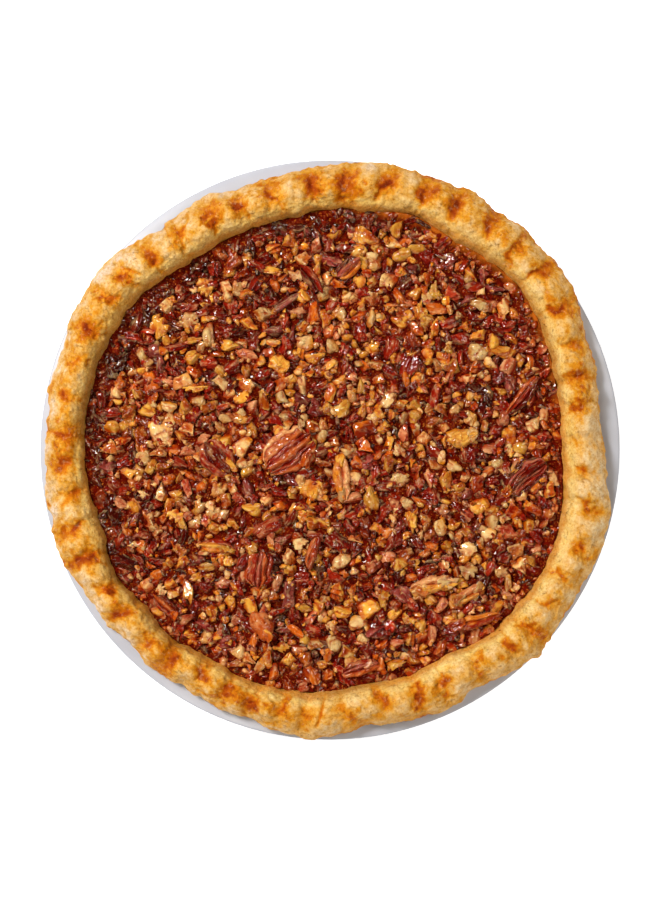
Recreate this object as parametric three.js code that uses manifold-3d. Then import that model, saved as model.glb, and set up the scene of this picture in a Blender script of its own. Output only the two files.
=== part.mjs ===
// A whole pecan pie in its plain white glazed dish.
// Millimetres, +Z up. The origin is on the surface that the dish stands on, below the dish's middle.
// +X is the pie's right and +Y its back. Angles run anticlockwise from +X, seen from above.

import * as THREE from 'three';
import { ConvexHull } from 'three/addons/math/ConvexHull.js';
import { mergeVertices } from 'three/addons/utils/BufferGeometryUtils.js';
import Module from 'manifold-3d';

const wasm = await Module();
wasm.setup();

const TURN = 2 * Math.PI;
const radians = (degrees) => (degrees * TURN) / 360;

// ---- Driving dimensions ----

const GAP = 0.3; // left between neighbouring pieces

// The dish: a 9-inch pie dish, 245 mm across its lip
const DISH_RADIUS = 122.5;
const DISH_HEIGHT = 36;
const DISH_SIDES = 60;
const FOOT_OUTER = 80.5;
const FOOT_INNER = 75.5;
const FOOT_HEIGHT = 1.2;
const DISH_FLOOR = 5.5; // top of the floor
const FLOOR_RADIUS = 80.5;
const WALL_FOOT = { r: 83, z: 7.6 }; // inner wall, from its foot
const WALL_TOP = { r: 111, z: 34.6 }; // to its top
const WALL_DROP = 6.2; // the wall's thickness, measured straight down
const LIP_INNER = 113.2;
const LIP_THICKNESS = 3;
const LIP_FILLET = 2.8; // where the wall turns out into the lip, underneath
const LIP_ROUND = 1.2; // of the lip's edge
const FOOT_CHAMFER = 0.8;

// The crust: a shell of pastry with a fluted rim, which stands on the dish's lip
const CRUST_FLOOR = 4; // thickness of the pastry on the dish's floor
const CRUST_FLOOR_RADIUS = 77.5;
const RIM_FOOT = 36.8; // where the filling meets the rim
const RIM_EDGE = 39.3; // the rim's outermost line
const RIM_RISE = 9.6; // from the line between those two up to the crest
const RIM_FULLNESS = 0.75; // the lower, the fuller its rounding
const RIM_SKEW = 0.85; // under 1, the crest lies nearer to the filling
const CREST_WAVES = [ // the crest's height in mm, how many times it rises around the pie, and its start
  [0.6, 3, 1.1], [0.3, 7, 0.4],
];
const RIM_STEPS = [1, 0.84, 0.66, 0.48, 0.3, 0.13, 0]; // shares of the rim's width, from the outside in
const EDGE_TUCK = { r: 2.2, z: 1.1 }; // how far the edge is rolled under
const WALL_LEAN = 5; // how far the wall leans in by the height WALL_KNEE
const WALL_KNEE = 29;
const FILLING_CLEARANCE = 0.6; // between the filling and the crust's uneven inner wall
const INSIDE_SIDES = 60;
// Radius of the rim's outer edge and of its inner edge, every 15 degrees from +X
const RIM_OUTER = [
  116.0, 116.4, 120.4, 122.6, 124.2, 122.6, 119.8, 116.4, 117.2, 121.4, 122.9, 121.0,
  121.1, 122.0, 119.8, 117.2, 118.5, 118.2, 121.4, 118.6, 117.8, 122.2, 121.4, 120.6,
];
const RIM_INNER = [
  97.9, 99.1, 102.9, 104.6, 102.8, 103.4, 101.3, 98.7, 99.6, 102.9, 104.2, 103.6,
  102.5, 103.2, 103.4, 102.1, 102.3, 100.8, 100.8, 101.1, 102.4, 102.7, 102.1, 100.8,
];
// The rim is pressed in at these angles, in degrees, and swells between them
const CRIMPS = [
  2, 9.5, 16, 23.5, 31.5, 40.5, 47, 54, 62.5, 69.5, 78, 86.5, 94, 103, 110, 117, 125,
  132.5, 140, 145.5, 153.5, 160, 168, 176, 183, 190, 197, 203.5, 211.5, 218, 226, 232,
  240.5, 246.5, 252.5, 259, 264.5, 273, 281.5, 289.5, 295.5, 304.5, 312.5, 318, 325, 331,
  338.5, 347, 354.5,
].map(radians);
const CRIMP_DEPTH = 4;
const CRIMP_STRENGTH = { low: 0.7, high: 1.1 };
const CRIMP_SHARPNESS = 1.4; // the higher, the narrower a crimp and the wider the swelling
const CRIMP_SEED = 7;
const CRIMP_BULGE = 0.6; // how far a crimp pushes the edge out
const COLUMNS_PER_CRIMP = 3;
const SPIKE = { angle: radians(315.3), reach: 2.2, spread: radians(1.3) }; // a point of dough at the edge

// The filling: custard to the crust's wall, and on it a heap of chopped pecans that touch one another
const FILLING_LEVEL = 36.2; // of the custard between the pieces, at the crust
const FILLING_DOME = 1.1; // how much higher it is in the middle
const BUMPS = [ // height in mm, from crest to crest in mm, direction in degrees
  [0.3, 61, 20], [0.26, 43, 95], [0.24, 29, 160],
];
const HEAP_RADIUS = 106.5; // the heap is laid out past the crust's wall and then cut to it
const BORDER_RADIUS = 116.5;
const BORDER_COUNT = 36;
const NUT_SEED = 2026;
const NUT_COUNT = 256;
const NUT_LARGEST = 13.5; // length of the largest chopped pieces, which come first
const NUT_SMALLEST = 7;
const NUT_TRIES = 300; // places tried for a piece before it is left out
const NUT_SPACING = 0.49; // least distance between two, as a share of their lengths together
const NUT_RISE = { low: 1.2, high: 2.9 }; // how far a piece stands out of the custard
const NUT_RISE_SMALL = 0.6; // a small piece stands out by up to this share of that
const NUT_TOP = { long: 0.84, short: 0.56 }; // its top face, as a share of the room it has
const NUT_TILT = 0.18; // steepest slope of its top
const EDGE_STRIP = 5; // this near to the crust the pieces sink into the custard
const EDGE_SHOWN = 0.15; // until only this share of their height shows

// The large pecans, each a solid of its own: its place on the pie, its middle, its length, width and
// height, its turn in degrees, the lobes across it, how blunt its two ends are, how far it bends
// sideways, and its colour
const PECANS = [
  ['centre', [-17.4, -0.9], [22, 16.5, 4], 38, 3, [0.6, 0.7], 0.4, '#9c4e2a'],
  ['left_ridged', [-47.3, -3], [15.5, 13.6, 4.2], 130, 2, [0.6, 0.5], 0.3, '#6e2414'],
  ['middle_strip', [5.3, -11.8], [19, 7.4, 4], 97, 2, [0.35, 0.6], 0.5, '#b8702c'],
  ['right_ridged', [83, -11], [18, 13, 4.2], 40, 3, [0.5, 0.5], 0.5, '#5c2418'],
  ['right_long', [80.5, 22.6], [20.5, 6, 4.2], 52, 1, [0.3, 0.5], -0.8, '#8c3a1c'],
  ['front_right_long', [60.4, -71.4], [22, 6, 4.2], 13, 1, [0.5, 0.35], -0.9, '#b0601c'],
  ['front_right_pale', [43.6, -57], [18.8, 7.4, 4], 8, 2, [0.5, 0.45], 0.6, '#d8a058'],
  ['front_right_short', [58, -60.6], [13.6, 6, 3.8], 27, 1, [0.4, 0.5], -0.4, '#c08040'],
  ['back_dark', [7.8, 76.7], [12.4, 8, 4.2], 40, 2, [0.5, 0.4], 0.2, '#5a2820'],
  ['back_red', [-8.2, 71.6], [14, 6.4, 4.2], -52, 1, [0.35, 0.5], 0.5, '#7a1c0e'],
  ['front_left_ridged', [-29.7, -50.3], [14.5, 12.4, 4.2], 85, 3, [0.6, 0.6], 0, '#8a3820'],
  ['front_long', [12.9, -91.6], [16, 7, 4], 18, 2, [0.4, 0.5], 0.4, '#9a5240'],
  ['front_left_round', [-28.5, -73.5], [12.6, 8.6, 4.2], -60, 1, [0.6, 0.6], 0, '#b45a20'],
  ['left_golden', [-47.4, -41], [15, 6.6, 4.2], -10, 1, [0.4, 0.4], 0.7, '#cc7a24'],
  ['front_left_dark', [-69, -65.6], [13.4, 6.4, 4], -45, 2, [0.4, 0.5], 0.4, '#7a2c1c'],
  ['front_red', [-25.9, -32.6], [12.5, 7, 4.2], 30, 1, [0.5, 0.5], 0.4, '#86200e'],
  ['right_pale', [55.5, 5.2], [12, 7.8, 4.2], 15, 2, [0.5, 0.6], 0, '#cf9440'],
  ['front_strip', [-7.2, -43.2], [14.5, 5.2, 4], 74, 1, [0.4, 0.5], 0.4, '#7c2410'],
].map(([place, at, size, turn, lobes, ends, bend, colour]) => (
  { name: `pecan_${place}`, at, size, turn, lobes, ends, bend, colour }
));
const PECAN_ROUGHNESS = 0.4;
const PECAN_SEAT = 0.6; // they lie this far above the custard's level, on pieces cut flat for them
const PECAN_TAPER = { start: 2.6, roundness: 0.7 }; // the higher the start, the nearer the ends it begins
const PECAN_END_HEIGHT = 0.75; // of its ends, as a share of the height, where they come to a point
const PECAN_STATIONS = 7; // along a large pecan
const PECAN_POINTS = 7; // across it
const ROOM_GAP = 0.5; // round a large pecan
const ROOM_HEIGHT = 10; // past the top of any chopped piece
const ROOM_SHOULDER = 0.62; // its room is full width over this share of its length
const LOBE_GROOVE = 0.34; // depth of the grooves between lobes, as a share of the height

const COLOURS = { dish: '#e9e8e6', crust: '#d59a4c', filling: '#8c4424' };
const DISH_ROUGHNESS = 0.25;
const CRUST_ROUGHNESS = 0.7;
const FILLING_ROUGHNESS = 0.35;

// ---- Helpers ----

// A seeded draw between 0 and 1 (mulberry32)
function makeDraw(seed) {
  let state = seed;
  return () => {
    state = (state + 0x6d2b79f5) | 0;
    let mixed = Math.imul(state ^ (state >>> 15), 1 | state);
    mixed = (mixed + Math.imul(mixed ^ (mixed >>> 7), 61 | mixed)) ^ mixed;
    return ((mixed ^ (mixed >>> 14)) >>> 0) / 4294967296;
  };
}

const mix = (low, high, share) => low + (high - low) * share;

// A smooth curve through values that are evenly spaced around the pie
function aroundRing(values, angle) {
  const count = values.length;
  const place = (((angle / TURN) % 1) + 1) * count;
  const start = Math.floor(place);
  const t = place - start;
  const [a, b, c, d] = [-1, 0, 1, 2].map((step) => values[(start + step + count) % count]);
  return b + 0.5 * t * (c - a + t * (2 * a - 5 * b + 4 * c - d + t * (3 * (b - c) + d - a)));
}

function closedGeometry(points, triangles) {
  const geometry = new THREE.BufferGeometry();
  geometry.setAttribute('position', new THREE.Float32BufferAttribute(points.flat(), 3));
  geometry.setIndex(triangles.flat());
  return geometry;
}

// A closed skin through rings of points, from the point firstPole to the point lastPole.
// A ring runs anticlockwise, and the rings run from underneath, round the outside, to the top.
function ringedSolid(firstPole, rings, lastPole) {
  const sides = rings[0].length;
  const points = [firstPole, ...rings.flat(), lastPole];
  const last = points.length - 1;
  const index = (ring, side) => 1 + ring * sides + (side % sides);
  const triangles = [];
  for (let side = 0; side < sides; side += 1) {
    triangles.push([0, index(0, side + 1), index(0, side)]);
    for (let ring = 0; ring + 1 < rings.length; ring += 1) {
      const [a, b] = [index(ring, side), index(ring, side + 1)];
      const [c, d] = [index(ring + 1, side + 1), index(ring + 1, side)];
      triangles.push([a, c, d], [a, b, c]);
    }
    triangles.push([index(rings.length - 1, side), index(rings.length - 1, side + 1), last]);
  }
  return closedGeometry(points, triangles);
}

const onCircle = (radius, angle, z = 0) => [radius * Math.cos(angle), radius * Math.sin(angle), z];

// From three.js geometry to a manifold-3d solid, and back
function toSolid(geometry) {
  const bare = geometry.clone();
  bare.deleteAttribute('normal');
  bare.deleteAttribute('uv');
  const merged = mergeVertices(bare, 1e-5);
  return new wasm.Manifold(new wasm.Mesh({
    numProp: 3,
    vertProperties: new Float32Array(merged.attributes.position.array),
    triVerts: new Uint32Array(merged.index.array),
  }));
}

function toGeometry(solid) {
  const mesh = solid.getMesh();
  const geometry = new THREE.BufferGeometry();
  geometry.setAttribute('position', new THREE.BufferAttribute(mesh.vertProperties, 3));
  geometry.setIndex(new THREE.BufferAttribute(mesh.triVerts, 1));
  return geometry;
}

function makeMesh(name, geometry, colour, roughness) {
  geometry.computeVertexNormals();
  const material = new THREE.MeshStandardMaterial({ color: colour, roughness, metalness: 0 });
  const mesh = new THREE.Mesh(geometry, material);
  mesh.name = name;
  return mesh;
}

// ---- Dish ----

function makeDish() {
  const underLip = DISH_HEIGHT - LIP_THICKNESS;
  const profile = [
    [0, FOOT_HEIGHT],
    [FOOT_INNER, FOOT_HEIGHT],
    [FOOT_INNER + FOOT_CHAMFER, 0],
    [FOOT_OUTER, 0],
    [WALL_FOOT.r, WALL_FOOT.z - WALL_DROP],
    [LIP_INNER, underLip - LIP_FILLET / 2],
    [LIP_INNER + LIP_FILLET, underLip],
    [DISH_RADIUS - LIP_ROUND, underLip],
    [DISH_RADIUS, DISH_HEIGHT - LIP_THICKNESS / 2],
    [DISH_RADIUS - LIP_ROUND / 3, DISH_HEIGHT - LIP_ROUND / 3],
    [DISH_RADIUS - 2 * LIP_ROUND, DISH_HEIGHT],
    [LIP_INNER, DISH_HEIGHT],
    [WALL_TOP.r, WALL_TOP.z],
    [WALL_FOOT.r, WALL_FOOT.z],
    [FLOOR_RADIUS, DISH_FLOOR],
    [0, DISH_FLOOR],
  ];
  const geometry = new THREE.LatheGeometry(profile.map(([r, z]) => new THREE.Vector2(r, z)), DISH_SIDES);
  geometry.rotateX(TURN / 4);
  return makeMesh('dish', geometry, COLOURS.dish, DISH_ROUGHNESS);
}

// ---- Crust ----

const innerEdge = (angle) => aroundRing(RIM_INNER, angle);

function outerEdge(angle) {
  const off = (angle - SPIKE.angle) / SPIKE.spread;
  return aroundRing(RIM_OUTER, angle) + SPIKE.reach * Math.exp(-off * off);
}

// The columns of the crust: each crimp's own angle, then steps across the swelling to the next
function crustColumns() {
  const draw = makeDraw(CRIMP_SEED);
  const depths = CRIMPS.map(() => mix(CRIMP_STRENGTH.low, CRIMP_STRENGTH.high, draw()));
  return CRIMPS.flatMap((angle, i) => {
    const following = (i + 1) % CRIMPS.length;
    const width = (CRIMPS[following] - angle + TURN) % TURN;
    return Array.from({ length: COLUMNS_PER_CRIMP }, (_, step) => {
      const share = step / COLUMNS_PER_CRIMP;
      const closeness = 0.5 + 0.5 * Math.cos(share * TURN);
      return {
        angle: angle + width * share,
        press: closeness ** CRIMP_SHARPNESS * mix(depths[i], depths[following], share),
      };
    });
  });
}

// Height of the rim's top at a share of its width, from its inner edge to its outer one
function rimHeight(share, { angle, press }) {
  const dome = Math.max(Math.sin(Math.PI * share ** RIM_SKEW), 0) ** RIM_FULLNESS;
  const crest = CREST_WAVES.reduce(
    (sum, [height, count, start]) => sum + height * Math.sin(count * angle + start),
    RIM_RISE,
  );
  const dent = CRIMP_DEPTH * press * Math.sin(Math.PI * share);
  return mix(RIM_FOOT, RIM_EDGE, share) + crest * dome - dent;
}

function makeCrust() {
  const columns = crustColumns();
  const ring = (place) => columns.map((column) => {
    const [radius, z] = place(column);
    return onCircle(radius, column.angle, z);
  });
  const edge = (column) => outerEdge(column.angle) + CRIMP_BULGE * (column.press - 0.5);
  const lipTop = DISH_HEIGHT + GAP;
  const underside = DISH_FLOOR + GAP;
  const floorTop = DISH_FLOOR + GAP + CRUST_FLOOR;
  const rings = [
    ring(() => [FLOOR_RADIUS, underside]),
    ring(() => [WALL_TOP.r - GAP, WALL_TOP.z + GAP]),
    ring(() => [LIP_INNER - GAP, lipTop]),
    ring((column) => [edge(column) - EDGE_TUCK.r, lipTop]),
    ring((column) => [edge(column) - EDGE_TUCK.r / 8, lipTop + EDGE_TUCK.z]),
    ...RIM_STEPS.map((share) => ring((column) => {
      const radius = mix(innerEdge(column.angle), edge(column), share);
      return [radius, rimHeight(share, column)];
    })),
    ring((column) => [innerEdge(column.angle) - WALL_LEAN, WALL_KNEE]),
    ring(() => [CRUST_FLOOR_RADIUS, floorTop]),
  ];
  const geometry = ringedSolid([0, 0, underside], rings, [0, 0, floorTop]);
  return makeMesh('crust', geometry, COLOURS.crust, CRUST_ROUGHNESS);
}

// ---- Filling ----

// Level of the custard, and then its height with the bumps
function custardLevel(x, y) {
  return FILLING_LEVEL + FILLING_DOME * (1 - (x * x + y * y) / HEAP_RADIUS ** 2);
}

function custardHeight(x, y) {
  return BUMPS.reduce((sum, [height, length, direction]) => {
    const along = x * Math.cos(radians(direction)) + y * Math.sin(radians(direction));
    return sum + height * Math.sin((along / length) * TURN);
  }, custardLevel(x, y));
}

// The space inside the crust, up past the filling
function crustInside() {
  const angles = Array.from({ length: INSIDE_SIDES }, (_, side) => (side / INSIDE_SIDES) * TURN);
  const floor = DISH_FLOOR + GAP + CRUST_FLOOR + GAP;
  const above = RIM_EDGE + RIM_RISE;
  const inner = (angle) => innerEdge(angle) - FILLING_CLEARANCE;
  const rings = [
    angles.map((angle) => onCircle(CRUST_FLOOR_RADIUS - FILLING_CLEARANCE, angle, floor)),
    angles.map((angle) => onCircle(inner(angle) - WALL_LEAN, angle, WALL_KNEE)),
    angles.map((angle) => onCircle(inner(angle), angle, RIM_FOOT)),
    angles.map((angle) => onCircle(inner(angle), angle, above)),
  ];
  return ringedSolid([0, 0, floor], rings, [0, 0, above]);
}

// Places for the chopped pieces: the largest first, spread evenly, each as far from the others as
// their sizes ask
function nutPlaces(draw) {
  const places = [];
  for (let i = 0; i < NUT_COUNT; i += 1) {
    const length = mix(NUT_LARGEST, NUT_SMALLEST, Math.sqrt(i / NUT_COUNT));
    for (let attempt = 0; attempt < NUT_TRIES; attempt += 1) {
      const radius = HEAP_RADIUS * Math.sqrt(draw());
      const angle = draw() * TURN;
      const [x, y] = [radius * Math.cos(angle), radius * Math.sin(angle)];
      const clear = places.every((other) => (
        Math.hypot(x - other.x, y - other.y) > NUT_SPACING * (length + other.length)
      ));
      if (clear) {
        places.push({ x, y, length });
        break;
      }
    }
  }
  return places;
}

// The triangles between neighbouring places: the underside of the hull of the places on a bowl
function neighbourTriangles(places) {
  const lifted = places.map(({ x, y }) => new THREE.Vector3(x, y, (x * x + y * y) / HEAP_RADIUS));
  const placeOf = new Map(lifted.map((point, i) => [point, places[i]]));
  const hull = new ConvexHull().setFromPoints(lifted);
  return hull.faces.filter((face) => face.normal.z < 0).map(({ edge }) => (
    [edge, edge.next, edge.next.next].map((side) => placeOf.get(side.head().point))
  ));
}

// One chopped piece: a lump with a flat, tilted top, inside the outline that its neighbours leave it
function nutLump({ x, y, length }, outline, draw) {
  const turn = draw() * TURN;
  const [c, s] = [Math.cos(turn), Math.sin(turn)];
  const size = length / NUT_LARGEST;
  const fromCrust = innerEdge(Math.atan2(y, x)) - Math.hypot(x, y);
  const shown = Math.min(Math.max(fromCrust / EDGE_STRIP, EDGE_SHOWN), 1);
  const rise = mix(NUT_RISE.low, NUT_RISE.high, draw() * mix(NUT_RISE_SMALL, 1, size)) * shown;
  const [tiltAlong, tiltAcross] = [0, 1].map(() => mix(-NUT_TILT, NUT_TILT, draw()));
  const middle = custardHeight(x, y) + rise;
  return outline.map(([cornerX, cornerY]) => {
    const [dx, dy] = [cornerX - x, cornerY - y];
    const along = (dx * c + dy * s) * NUT_TOP.long;
    const across = (dy * c - dx * s) * NUT_TOP.short;
    const z = middle + tiltAlong * along + tiltAcross * across;
    return [x + along * c - across * s, y + along * s + across * c, z];
  });
}

// The heap as one block: custard in the grooves between the lumps, closed down to a flat base
function nutHeap(draw) {
  const nuts = nutPlaces(draw);
  const border = Array.from({ length: BORDER_COUNT }, (_, i) => {
    const [x, y] = onCircle(BORDER_RADIUS, (i / BORDER_COUNT) * TURN);
    return { x, y, length: NUT_LARGEST };
  });
  const points = [];
  const outlines = new Map([...nuts, ...border].map((place) => [place, []]));
  for (const corners of neighbourTriangles([...nuts, ...border])) {
    const weight = corners.reduce((sum, { length }) => sum + 1 / length, 0);
    const [x, y] = ['x', 'y'].map((axis) => (
      corners.reduce((sum, place) => sum + place[axis] / place.length, 0) / weight
    ));
    corners.forEach((place) => outlines.get(place).push(points.length));
    points.push([x, y, custardHeight(x, y)]);
  }
  const triangles = [];
  for (const nut of nuts) {
    const direction = (i) => Math.atan2(points[i][1] - nut.y, points[i][0] - nut.x);
    const outline = outlines.get(nut).sort((i, j) => direction(i) - direction(j));
    const first = points.length;
    const sides = outline.length;
    points.push(...nutLump(nut, outline.map((i) => points[i]), draw));
    outline.forEach((start, i) => {
      const end = outline[(i + 1) % sides];
      const [topStart, topEnd] = [first + i, first + ((i + 1) % sides)];
      triangles.push([start, end, topEnd], [start, topEnd, topStart]);
      if (i > 0 && i + 1 < sides) {
        triangles.push([first, topStart, topEnd]);
      }
    });
  }
  // Edges with a lump on one side only are the heap's outside: walls go down from them to the base
  const edges = new Map(triangles.flatMap(([a, b, c]) => [[a, b], [b, c], [c, a]])
    .map(([start, end]) => [`${start} ${end}`, [start, end]]));
  const outside = [...edges.values()].filter(([start, end]) => !edges.has(`${end} ${start}`));
  const below = new Map(outside.map(([start]) => {
    points.push([points[start][0], points[start][1], 0]);
    return [start, points.length - 1];
  }));
  const centre = points.push([0, 0, 0]) - 1;
  for (const [start, end] of outside) {
    triangles.push([end, start, below.get(start)], [end, below.get(start), below.get(end)]);
    triangles.push([centre, below.get(end), below.get(start)]);
  }
  return closedGeometry(points, triangles);
}

function makeFilling() {
  const heap = toSolid(nutHeap(makeDraw(NUT_SEED))).intersect(toSolid(crustInside()));
  const filling = PECANS.reduce((whole, pecan) => whole.subtract(toSolid(pecanRoom(pecan))), heap);
  return makeMesh('filling', toGeometry(filling), COLOURS.filling, FILLING_ROUGHNESS);
}

// ---- Large pecans ----

// How full a large pecan is, and how far it bends sideways, at a share of its length
function pecanForm({ ends, bend }, share) {
  const fromMiddle = Math.abs(2 * share - 1);
  const end = share < 0.5 ? ends[0] : ends[1];
  const rounding = (1 - fromMiddle ** PECAN_TAPER.start) ** PECAN_TAPER.roundness;
  return { fullness: mix(end, 1, rounding), shift: bend * (1 - fromMiddle ** 2) };
}

// A piece of a pecan half, flat underneath, with rounded lobes that run along it
function pecanGeometry(pecan) {
  const { size: [length, width, height], lobes } = pecan;
  const sections = Array.from({ length: PECAN_STATIONS }, (_, station) => {
    const share = station / (PECAN_STATIONS - 1);
    const { fullness, shift } = pecanForm(pecan, share);
    return Array.from({ length: PECAN_POINTS }, (__, point) => {
      const v = point / (PECAN_POINTS - 1);
      const round = Math.sqrt(Math.max(1 - (2 * v - 1) ** 2, 0));
      const groove = lobes > 1 ? LOBE_GROOVE * (0.5 + 0.5 * Math.cos(TURN * lobes * v)) : 0;
      const rise = height * mix(PECAN_END_HEIGHT, 1, fullness) * round * (1 - groove);
      return [(share - 0.5) * length, (v - 0.5) * width * fullness + shift, rise];
    });
  });
  const index = (station, point) => station * PECAN_POINTS + point;
  const triangles = [];
  for (let station = 0; station + 1 < PECAN_STATIONS; station += 1) {
    for (let point = 0; point < PECAN_POINTS; point += 1) {
      const following = (point + 1) % PECAN_POINTS;
      const [a, b] = [index(station, point), index(station + 1, point)];
      const [c, d] = [index(station + 1, following), index(station, following)];
      triangles.push([a, b, c], [a, c, d]);
    }
  }
  const lastStation = PECAN_STATIONS - 1;
  for (let point = 1; point + 1 < PECAN_POINTS; point += 1) {
    triangles.push([index(0, 0), index(0, point), index(0, point + 1)]);
    triangles.push([index(lastStation, 0), index(lastStation, point + 1), index(lastStation, point)]);
  }
  return closedGeometry(sections.flat(), triangles);
}

const seatHeight = ({ at }) => custardLevel(at[0], at[1]) + PECAN_SEAT;

// The room that the heap leaves for a large pecan: its outline with a gap, from its seat upwards
function pecanRoom(pecan) {
  const [length, width] = pecan.size;
  const reach = length / 2 + ROOM_GAP;
  const shoulder = ROOM_SHOULDER * reach;
  const half = (fullness) => (width / 2) * fullness + ROOM_GAP;
  const [start, end] = pecan.ends.map(half);
  const [low, high] = [pecan.bend - half(1), pecan.bend + half(1)];
  const outline = [
    [-reach, -start], [-shoulder, low], [shoulder, low], [reach, -end],
    [reach, end], [shoulder, high], [-shoulder, high], [-reach, start],
  ];
  const rings = [0, ROOM_HEIGHT].map((z) => outline.map(([x, y]) => [x, y, z]));
  const room = ringedSolid([0, 0, 0], rings, [0, 0, ROOM_HEIGHT]);
  room.rotateZ(radians(pecan.turn));
  room.translate(pecan.at[0], pecan.at[1], seatHeight(pecan));
  return room;
}

function makePecan(pecan) {
  const mesh = makeMesh(pecan.name, pecanGeometry(pecan), pecan.colour, PECAN_ROUGHNESS);
  mesh.position.set(pecan.at[0], pecan.at[1], seatHeight(pecan) + GAP);
  mesh.rotation.z = radians(pecan.turn);
  return mesh;
}

const pie = new THREE.Group();
pie.add(makeDish(), makeCrust(), makeFilling(), ...PECANS.map(makePecan));

export default pie;
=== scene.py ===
"""A whole pecan pie in a plain white glazed dish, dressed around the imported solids.

Lengths here are in millimetres, and a mesh is written in metres. Angles run anticlockwise from +X.
"""

import math
import bmesh
import bpy
import numpy as np
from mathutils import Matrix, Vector


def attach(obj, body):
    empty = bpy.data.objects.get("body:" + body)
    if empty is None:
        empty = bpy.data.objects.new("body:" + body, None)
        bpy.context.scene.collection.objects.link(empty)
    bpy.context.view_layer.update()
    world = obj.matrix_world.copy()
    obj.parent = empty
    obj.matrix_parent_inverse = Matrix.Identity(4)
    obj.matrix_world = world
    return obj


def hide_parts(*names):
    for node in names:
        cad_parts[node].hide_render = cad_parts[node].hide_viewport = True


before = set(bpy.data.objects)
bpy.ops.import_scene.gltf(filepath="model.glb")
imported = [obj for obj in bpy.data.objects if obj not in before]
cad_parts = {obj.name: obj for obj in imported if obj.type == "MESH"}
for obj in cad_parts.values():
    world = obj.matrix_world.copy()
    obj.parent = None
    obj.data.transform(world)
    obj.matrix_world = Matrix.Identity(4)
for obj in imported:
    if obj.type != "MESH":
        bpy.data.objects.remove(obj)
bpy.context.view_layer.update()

MM = 0.001
TURN = 2 * math.pi

# ---- The forms of the solids ----

DISH_RADIUS = 122.5
DISH_HEIGHT = 36
# The crust's rim: its height at the inner and the outer edge, and its crest between them
RIM_FOOT = 36.8
RIM_EDGE = 39.3
RIM_RISE = 9.6
RIM_FULLNESS = 0.75
RIM_SKEW = 0.85
CREST_WAVES = [(0.6, 3, 1.1), (0.3, 7, 0.4)]
# Less than in the solid, as the crimps' pits come on top
CRIMP_DENT = 2.64
CRIMP_STRENGTH = (0.7, 1.1)
CRIMP_SHARPNESS = 1.4
CRIMP_SEED = 7
FILLING_LEVEL = 36.2
FILLING_DOME = 1.1
BUMPS = [(0.3, 61, 20), (0.26, 43, 95), (0.24, 29, 160)]
HEAP_RADIUS = 106.5
PECAN_SEAT = 0.9

# The dish's profile, from underneath out and back inside: radius, height, rounding
DISH_PROFILE = [
    (0.6, 1.2, 0), (50, 1.2, 0), (75.5, 1.2, 0.6), (76.3, 0, 0.3), (80.5, 0, 0.9), (83, 1.4, 1.5),
    (98, 16.4, 0), (113.2, 31.6, 2.5), (116, 33, 1.5), (121.3, 33, 1.1), (DISH_RADIUS, 33.9, 0.6),
    (122.3, 34.6, 0.5), (121.4, 35, 1), (119, 35.5, 2), (115.5, DISH_HEIGHT, 2), (113.2, DISH_HEIGHT, 1.4),
    (111, 34.6, 2), (97, 21.1, 0), (83, 7.6, 2.2), (80.5, 5.5, 2), (50, 5.5, 0), (0.6, 5.5, 0),
]
# The crust's outer edge, the radius by angle, with its small bulges
OUTER_EDGE = {
    5: 114.4, 15: 116, 25: 117.7, 33: 122.4, 36: 123.6, 45: 122.3, 48: 124, 52: 123.2, 56: 121.9, 61: 124.9,
    65: 123.2, 75: 122.3, 80: 122.4, 85: 121.9, 88: 119.8, 95: 119, 105: 116, 112: 116.5, 115: 119.4,
    123: 117.7, 127: 116.5, 135: 121.1, 139: 123.2, 154: 122.3, 157: 120.2, 163: 119.8, 169: 121.9,
    171: 118.6, 175: 120.2, 185: 119, 191: 121.5, 193: 119.4, 196: 121.9, 205: 121.9, 208: 119.4,
    212: 119.4, 215: 117.7, 218: 119.8, 223: 116, 227: 117.7, 232: 119, 236: 116.9, 245: 118.1, 255: 117.7,
    265: 121.9, 274: 119, 276: 116.9, 286: 118.1, 297: 120.2, 301: 116.5, 304: 118.6, 312: 121.9,
    318: 122.3, 325: 120.7, 333: 120.2, 343: 121.5, 348: 120.7, 353: 116.5, 355: 117.3, 358: 115.6,
}
# A spike on it: angle, reach, width in degrees
SPIKE = (315.3, 2.2, 1.3)
# The radius of the crust's inner edge, every 10 degrees
INNER_EDGE = [
    97.8, 98.3, 99.9, 102.9, 105, 104.2, 102.7, 104.6, 102.5, 101.2, 99.1, 98.7, 98.7, 99.5, 102.5, 103.5,
    104.2, 103.7, 103.3, 102.5, 101.4, 104.2, 102, 103.3, 101.2, 102.9, 102.3, 101.8, 99.5, 100.8, 99.1,
    102.5, 102.5, 102.9, 102, 99.5,
]
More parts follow.
